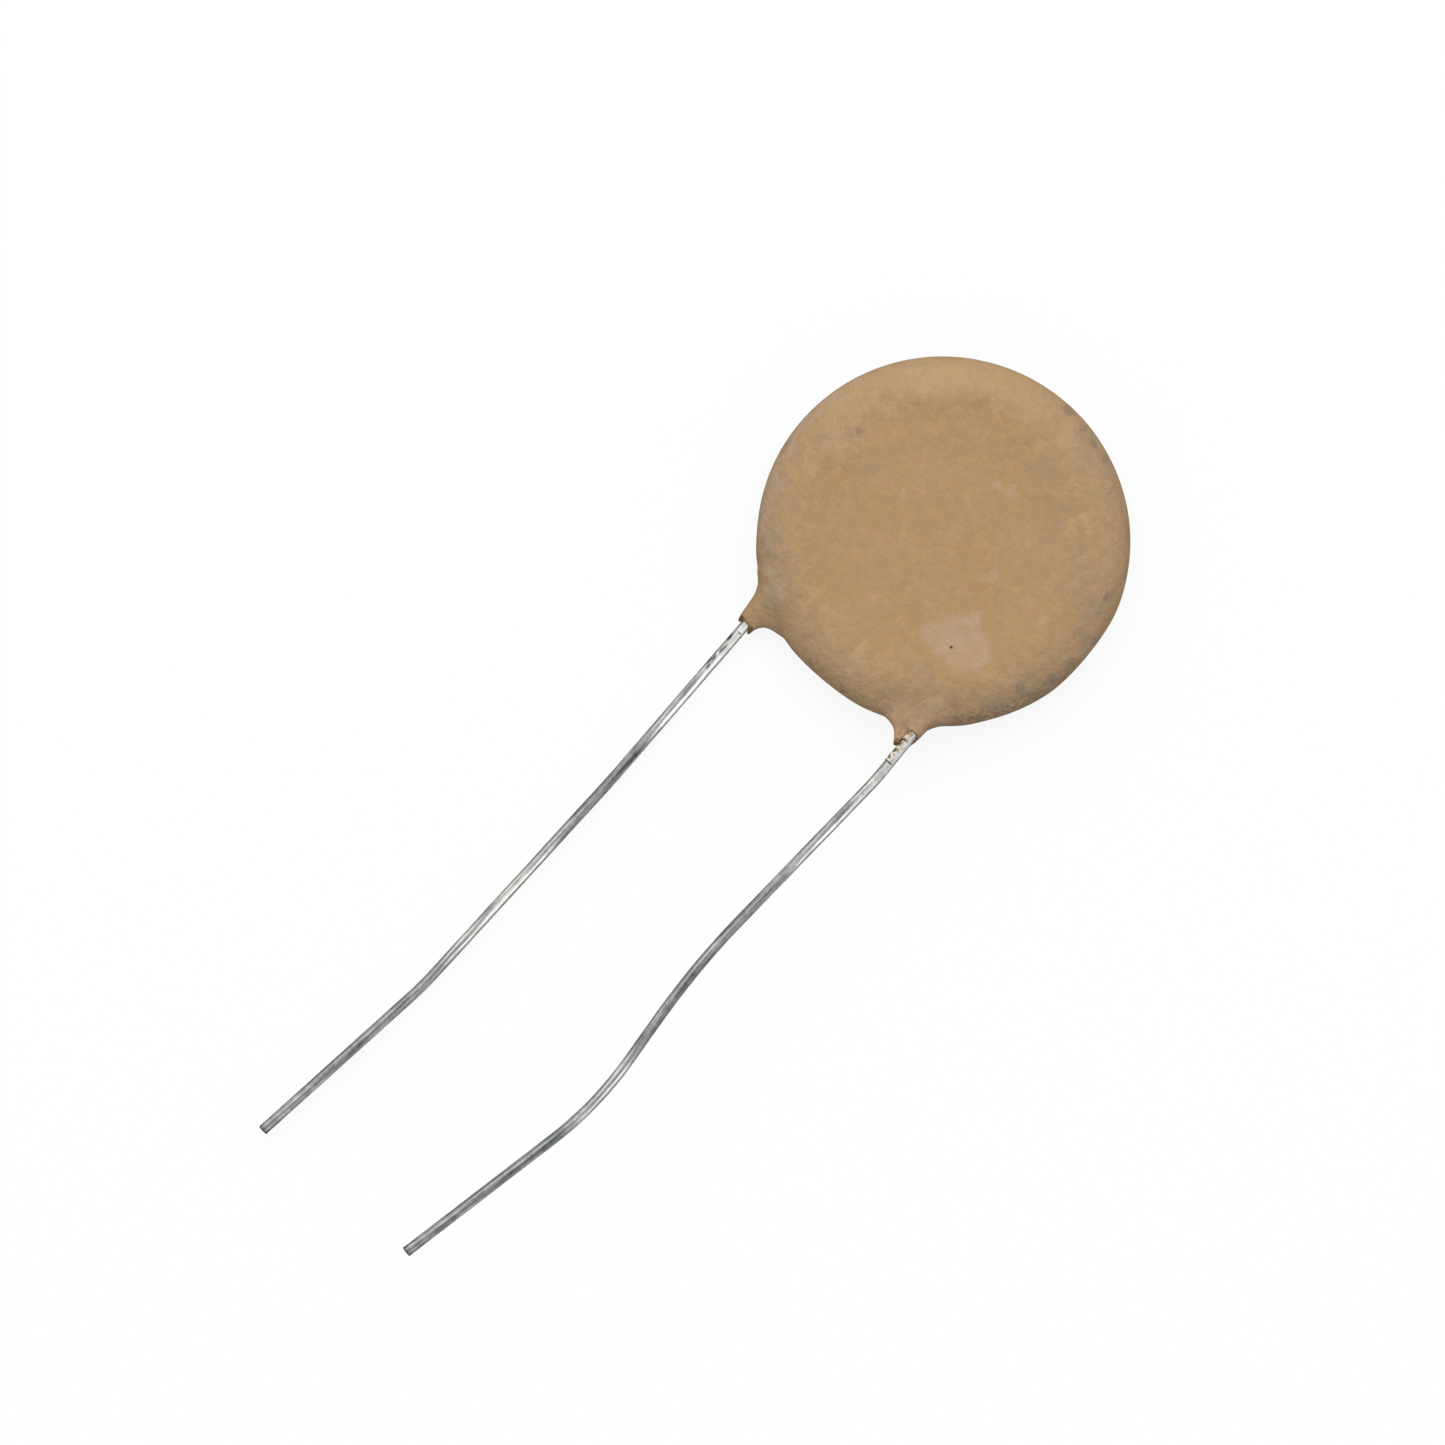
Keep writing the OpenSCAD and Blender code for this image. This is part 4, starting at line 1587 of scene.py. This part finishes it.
    def disc(self) -> bpy.types.Object:
        """Draws the disc up from its back face, ring by ring, each at its own radius.

        Returns:
            The disc, closed, on the bench.
        """
        rings = self.section()
        radius, height = rings[0]
        piece = start_ring("coating_skin", (0, 0, height), radius, self.sides, (0, 0, 0))
        for next_radius, next_height in rings[1:]:
            extrude((0, 0, next_height - height))
            share = next_radius / radius
            bpy.ops.transform.resize(value=(share, share, 1), center_override=(0, 0, next_height))
            radius, height = next_radius, next_height
        close_ends(self.sides)
        return piece

    def build(self, leads: tuple[Lead, ...], insides: list[str]) -> None:
        """Builds the coating and cuts out what it holds.

        Args:
            leads: The two leads, already built.
            insides: Names of the frame's nodes inside the coating.
        """
        self.piece = self.disc()
        extras = [part for leg in self.legs for part in leg.build()]
        take(self.piece)
        for part in extras:
            part.select_set(True)
        bpy.ops.object.join()
        finish_with(self.piece, "REMESH", mode="VOXEL", voxel_size=self.voxel)
        self.soften_roots()
        self.sculpt()
        for name in insides:
            cut_away(self.piece, bench_copy(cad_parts[name], 1 / MM))
        for lead in leads:
            cut_away(self.piece, lead.blank)
        cut_away(self.piece, self.notch.cutter())
        for x, y, radius in self.pinholes:
            cut_away(self.piece, self.needle(x, y, radius))

    def needle(self, x: float, y: float, radius: float) -> bpy.types.Object:
        """Makes the shape of a pinhole: a cone in the upper face, wider at the top.

        Args:
            x: The hole's place along X.
            y: Its place along Y.
            radius: Its radius a little below the surface.

        Returns:
            The shape, closed, on the bench.
        """
        drop_selection()
        bpy.ops.mesh.primitive_cone_add(
            vertices=16, radius1=self.pinhole_bottom * radius, radius2=self.pinhole_top * radius,
            depth=self.pinhole_depth, location=(x, y, THICK - self.pinhole_sunk))
        settle()
        return bpy.context.object

    def soften_roots(self) -> None:
        """Lets the legs flow into the rim, as the wet resin did."""
        x, y, _ = places_of(self.piece).T
        near = smooth_step(y, *self.root_top) * smooth_step(y, *self.root_foot)
        near *= smooth_step(np.abs(np.abs(x) - self.root_x), *self.root_side)
        group = self.piece.vertex_groups.new(name="roots")
        for i in np.nonzero(near > 0.01)[0]:
            group.add([int(i)], float(near[i]), "REPLACE")
        finish_with(self.piece, "SMOOTH", factor=self.root_smoothing, iterations=self.root_passes,
                    vertex_group="roots")
        self.piece.vertex_groups.clear()

    def sculpt(self) -> None:
        """Moves the skin: sunk middle, uneven rim, and the low stretch between the legs."""
        places = places_of(self.piece)
        x, y, _ = places.T
        reach = np.hypot(x, y)
        away = np.stack([x, y]) / np.maximum(reach, 1)
        out = self.rim_shift(places, reach)
        shifted = places + np.stack([away[0] * out, away[1] * out + self.lower_rim_shift(x, y),
                                     self.face_shift(places, reach)], axis=1)
        beyond = np.maximum(shifted[:, 0] - self.radius + self.drawn_width, 0)
        shifted[:, 0] -= self.drawn_in * beyond ** 2
        widest = self.radius - self.inset
        shifted[:, 0] = np.clip(shifted[:, 0], -widest, widest)
        put_places(self.piece, shifted)

    def face_shift(self, places: np.ndarray, reach: np.ndarray) -> np.ndarray:
        """Works out how far the two faces move up.

        Args:
            places: Where the vertices are.
            reach: Distance of each from the disc's middle.

        Returns:
            The shift along Z of each vertex.
        """
        x, y, z = places.T
        top = smooth_step(THICK - z, *self.face_skin)
        bottom = smooth_step(z, *self.face_skin)
        # The step at the dish's edge is highest at the upper left
        inside = self.inside_sunk(places)
        sharp = self.blunt_step + (1 - self.blunt_step) * smooth_step(y - x, *self.sharp_side)
        sunk = self.step * sharp * smooth_step(inside, *self.step_slope)
        sunk += self.dish * smooth_step(inside, *self.dish_slope)
        swell = self.waves * (lumps(places, 2.6, 1) - 1) + self.small_lumps * (lumps(places, 0.8, 2) - 1)
        hollow = self.back_hollow * smooth_step(self.hollow_reach - reach, *self.hollow_slope)
        return top * (swell - sunk) - bottom * (swell - hollow)

    def rim_shift(self, places: np.ndarray, reach: np.ndarray) -> np.ndarray:
        """Works out how far the rim, which isn't quite round, moves outwards.

        Args:
            places: Where the vertices are.
            reach: Distance of each from the disc's middle.

        Returns:
            The shift of each vertex away from the disc's middle.
        """
        x, y, _ = places.T
        rim = smooth_step(reach, *self.rim_reach) * smooth_step(y, *self.rim_above)
        turn = np.arctan2(y, x) - math.radians(self.long_side)
        out = rim * (self.off_round * np.cos(turn) + self.off_round * np.cos(2 * turn)
                     + self.rim_lumps * lumps(places, 3.2, 7) - self.rim_inwards)
        beside = np.exp(-((y - self.bulge_y) / self.bulge_width) ** 2)
        return out + self.root_bulge * smooth_step(reach, *self.root_reach) * beside

    def lower_rim_shift(self, x: np.ndarray, y: np.ndarray) -> np.ndarray:
        """Works out how far the rim between the legs moves along Y: flattened, but for one bulge.

        Args:
            x: Where the vertices are along X.
            y: Where they are along Y.

        Returns:
            The shift along Y of each vertex.
        """
        shift = self.flattened * np.exp(-(x / self.flat_width) ** 2)
        shift -= self.web_bulge * np.exp(-((x - self.web_x) / self.web_width) ** 2)
        return shift * (smooth_step(y, *self.gap_top) * smooth_step(np.abs(x), *self.gap_side))

    def inside_sunk(self, places: np.ndarray) -> np.ndarray:
        """Measures how far each place is inside the sunk middle of the upper face.

        Args:
            places: A row of x, y and z for each place.

        Returns:
            A distance for each place, negative outside.
        """
        inside = np.full(len(places), -9.0)
        for x, y, radius in self.sunk:
            inside = np.maximum(inside, radius - np.hypot(places[:, 0] - x, places[:, 1] - y))
        return inside + 0.1 * lumps(places, 0.7, 5)

    def dress(self, finish: bpy.types.Material) -> None:
        """Paints the coating and gives it its material.

        Args:
            finish: The resin's material.
        """
        places = places_of(self.piece)
        patina = Patina(places, self.inside_sunk(places), self.legs, self.notch, self.pinholes)
        for name, values in patina.masks().items():
            paint(self.piece, name, values)
        self.piece.data.materials.clear()
        self.piece.data.materials.append(finish)
        off_the_bench(self.piece)
        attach(self.piece, "root")
        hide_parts("coating")


# ---- Stage ----


@dataclass
class Stage:
    """Camera, floor, lamp and world.

    The camera looks straight down on the place over, turned by some degrees, from so high that its
    picture is frame_width wide at the disc's middle plane. Sizes are in millimetres.
    """

    over: tuple[float, float] = (-2.67, -13.58)
    frame_width: float = 70.08
    lens: float = 100.0
    sensor: float = 36.0
    turned: float = 39.25
    card_side: float = 4000.0
    card_drop: float = 0.01

    def add_camera(self) -> None:
        """Looks straight down on the object with a long lens."""
        data = bpy.data.cameras.new("camera")
        data.lens, data.sensor_width, data.sensor_fit = self.lens, self.sensor, "HORIZONTAL"
        data.clip_start, data.clip_end = 0.01, 10.0
        camera = bpy.data.objects.new("camera", data)
        height = THICK / 2 + self.frame_width * self.lens / self.sensor
        camera.location = (self.over[0] * MM, self.over[1] * MM, height * MM)
        camera.rotation_euler = (0, 0, math.radians(self.turned))
        bpy.context.scene.collection.objects.link(camera)
        bpy.context.scene.camera = camera

    def add_floor(self, finish: bpy.types.Material) -> None:
        """Lays the card that the object rests on.

        Args:
            finish: The card's material.
        """
        drop_selection()
        bpy.ops.mesh.primitive_plane_add(size=self.card_side * MM, location=(0, 0, -self.card_drop * MM))
        floor = bpy.context.object
        floor.name = "floor"
        bpy.ops.object.transform_apply(location=True)
        floor.data.materials.append(finish)

    def add_lamp(self, name: str, towards: Triple, distance: float, size: float, power: float,
                 colour: str) -> None:
        """Hangs a square soft lamp that faces the object.

        Args:
            name: The lamp's name.
            towards: Direction from the object to the lamp.
            distance: Distance in metres.
            size: Side of the lamp in metres.
            power: Power in watts.
            colour: Colour of its light.
        """
        data = bpy.data.lights.new(name, "AREA")
        data.size, data.energy, data.color = size, power, linear(colour)[:3]
        lamp = bpy.data.objects.new(name, data)
        way = Vector(towards).normalized()
        centre = Vector((self.over[0] * MM, self.over[1] * MM, 0))
        lamp.location = centre + way * distance
        lamp.rotation_euler = way.to_track_quat("Z", "Y").to_euler()
        bpy.context.scene.collection.objects.link(lamp)

    def add_world(self, strength: float) -> None:
        """Lights the object evenly, and shows white behind it.

        Args:
            strength: Level of the even light.
        """
        world = bpy.data.worlds.new("studio")
        world.use_nodes = True
        tree = world.node_tree
        tree.nodes.clear()
        level = add_node(tree, "ShaderNodeMapRange", {0: backdrop_rays(tree), 3: strength, 4: 1.0})
        light = add_node(tree, "ShaderNodeBackground", {"Color": (1, 1, 1, 1), "Strength": level.outputs[0]})
        add_node(tree, "ShaderNodeOutputWorld", {0: light.outputs[0]})
        bpy.context.scene.world = world


LEFT_LEG = Leg(
    hand=Hand.LEFT,
    web=(Rib(-6.2, 5.95, 2.2, 0.4, 3.15), Rib(-6.8, 6.0, 2.2, 0.36, 2.96),
         Rib(-7.2, 5.63, 2.3, 0.32, 2.72), Rib(-7.8, 5.42, 2.3, 0.29, 2.3),
         Rib(-8.3, 5.37, 2.5, 0.28, 1.9), Rib(-8.46, 5.35, 2.8, 0.27, 1.78),
         Rib(-8.51, 5.35, 3.3, 0.27, 1.72), Rib(-8.57, 5.34, 3.7, 0.27, 1.66),
         Rib(-8.68, 5.34, 3.98, 0.27, 1.57), Rib(-8.82, 5.33, 4.14, 0.27, 1.46),
         Rib(-9.1, 5.3, 4.32, 0.27, 1.26), Rib(-9.8, 5.27, 4.38, 0.27, 1.1)),
    sleeve=(Rib(-6.2, 5.35, 4.25, 0.3, 1.3), Rib(-7.8, 5.3, 4.3, 0.28, 1.22),
            Rib(-9.8, 5.24, 4.38, 0.27, 1.11)),
    cut_at=(-4.82, -9.08, 1.1), cut_towards=(-0.2, -1.0, 0.2),
    beads=((5.18, -9.16, 0.72, 0.11), (4.46, -9.33, 0.72, 0.13)))

RIGHT_LEG = Leg(
    hand=Hand.RIGHT,
    web=(Rib(-6.2, 5.9, 2.2, 0.95, 3.25), Rib(-6.7, 5.97, 2.2, 1.0, 3.2),
         Rib(-7.15, 5.55, 2.3, 1.2, 3.12), Rib(-7.6, 5.3, 2.4, 1.45, 3.08),
         Rib(-8.0, 5.22, 2.5, 1.7, 3.0), Rib(-8.3, 5.2, 2.7, 1.9, 2.93), Rib(-8.4, 5.18, 3.2, 2.0, 2.93),
         Rib(-8.44, 5.17, 3.62, 2.2, 2.95), Rib(-8.57, 5.14, 3.88, 2.25, 3.0),
         Rib(-8.7, 5.08, 4.04, 2.35, 3.04), Rib(-8.9, 5.02, 4.2, 2.45, 3.06),
         Rib(-9.1, 4.98, 4.32, 2.48, 3.08), Rib(-9.7, 4.95, 4.38, 2.5, 3.1)),
    sleeve=(Rib(-6.0, 5.4, 4.2, 2.2, 3.42), Rib(-6.8, 5.36, 4.22, 2.3, 3.42),
            Rib(-7.6, 5.28, 4.3, 2.4, 3.36), Rib(-8.1, 5.23, 4.34, 2.46, 3.3),
            Rib(-8.5, 5.17, 4.37, 2.48, 3.2), Rib(-8.75, 5.06, 4.38, 2.5, 3.18),
            Rib(-9.7, 4.95, 4.4, 2.5, 3.15)),
    cut_at=(PITCH / 2, -8.95, Hand.RIGHT.lead_height()), cut_towards=(0.35, -1.0, 0.35),
    beads=((4.38, -8.98, 2.9, 0.1),))

NOTCH = Notch(x=PITCH / 2, y=-8.45, floor=2.93, radius=0.28)

LEFT_LEAD = Lead(
    "left_lead", Hand.LEFT,
    bends=(Bend(2, 1.6, 20), Bend(9.8, 1.6, 30), Bend(12.4, 5.5, 18)),
    shine_stretches=((10, PaintedShine.HARD), (17, PaintedShine.DIMMEST), (22, PaintedShine.HARD), (25, PaintedShine.LIGHT), (30, PaintedShine.DIM),
           (34, PaintedShine.DIMMEST), (37, PaintedShine.DIM)),
    soiled=(3.5, 6.2))

RIGHT_LEAD = Lead(
    "right_lead", Hand.RIGHT,
    bends=(Bend(4.2, 4.8, 14), Bend(8.8, -8.6, 40), Bend(2.6, 17, 18)),
    shine_stretches=((11, PaintedShine.LIGHT), (13, PaintedShine.DIM), (22.5, PaintedShine.DIMMEST), (27, PaintedShine.LIGHT),
           (36, PaintedShine.DIMMEST), (37, PaintedShine.DIM)))

# Each run of resin with its finish
RUNS = (
    (ResinRun("resin_run", Hand.RIGHT, -8.12, -10.0, (88, 205), skin=0.02, ragged=0.13), RESIN_SKIN),
    (ResinRun("resin_drips", Hand.RIGHT, -8.5, -10.0, (95, 205), skin=0.028, ragged=0.22, bare=0.6),
     RESIN_EDGE),
    (ResinRun("resin_run_end", Hand.RIGHT, -9.94, -10.05, (60, 200), skin=0.02, ragged=0.02), RESIN_EDGE),
    (ResinRun("resin_ring", Hand.LEFT, -9.65, -9.725, (66, 140), skin=0.014, ragged=0.005), RESIN_EDGE))

# What the coating hides, with its finish
INSIDES = (("ceramic_disc", CERAMIC), ("upper_electrode", SILVER), ("lower_electrode", SILVER),
           ("upper_solder", SOLDER), ("lower_solder", SOLDER))


def report(piece: bpy.types.Object) -> None:
    """Reports a piece's name and its number of faces."""
    LOG.info("%s: %d faces", piece.name, len(piece.data.polygons))


def main() -> None:
    """Builds the stage and every piece in order."""
    logging.basicConfig(level=logging.INFO, format="%(name)s: %(message)s")
    stage = Stage()
    stage.add_camera()
    stage.add_floor(FloorFinish().material())
    stage.add_world(strength=0.5)
    stage.add_lamp("key", towards=(-0.63, 0.77, 1.5), distance=0.8, size=0.9, power=4.4, colour="#FFFDF9")
    LOG.info("stage ready")

    leads = (LEFT_LEAD, RIGHT_LEAD)
    wire = TinnedWireFinish().material()
    for lead in leads:
        lead.build()
        report(lead.piece)
    for run, _ in RUNS:
        run.build()
        report(run.piece)
    coating = Coating((LEFT_LEG, RIGHT_LEG), NOTCH)
    coating.build(leads, [name for name, _ in INSIDES])
    report(coating.piece)

    coating.dress(ResinFinish().material())
    made = {finish: finish.material() for finish in (RESIN_SKIN, RESIN_EDGE, CERAMIC, SILVER, SOLDER)}
    for run, finish in RUNS:
        run.dress(made[finish])
    for name, finish in INSIDES:
        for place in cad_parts[name].material_slots:
            place.material = made[finish]
    for lead in leads:
        lead.dress(wire)

    bpy.context.scene.view_settings.view_transform = "Standard"
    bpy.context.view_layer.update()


if __name__ == "__main__":
    main()
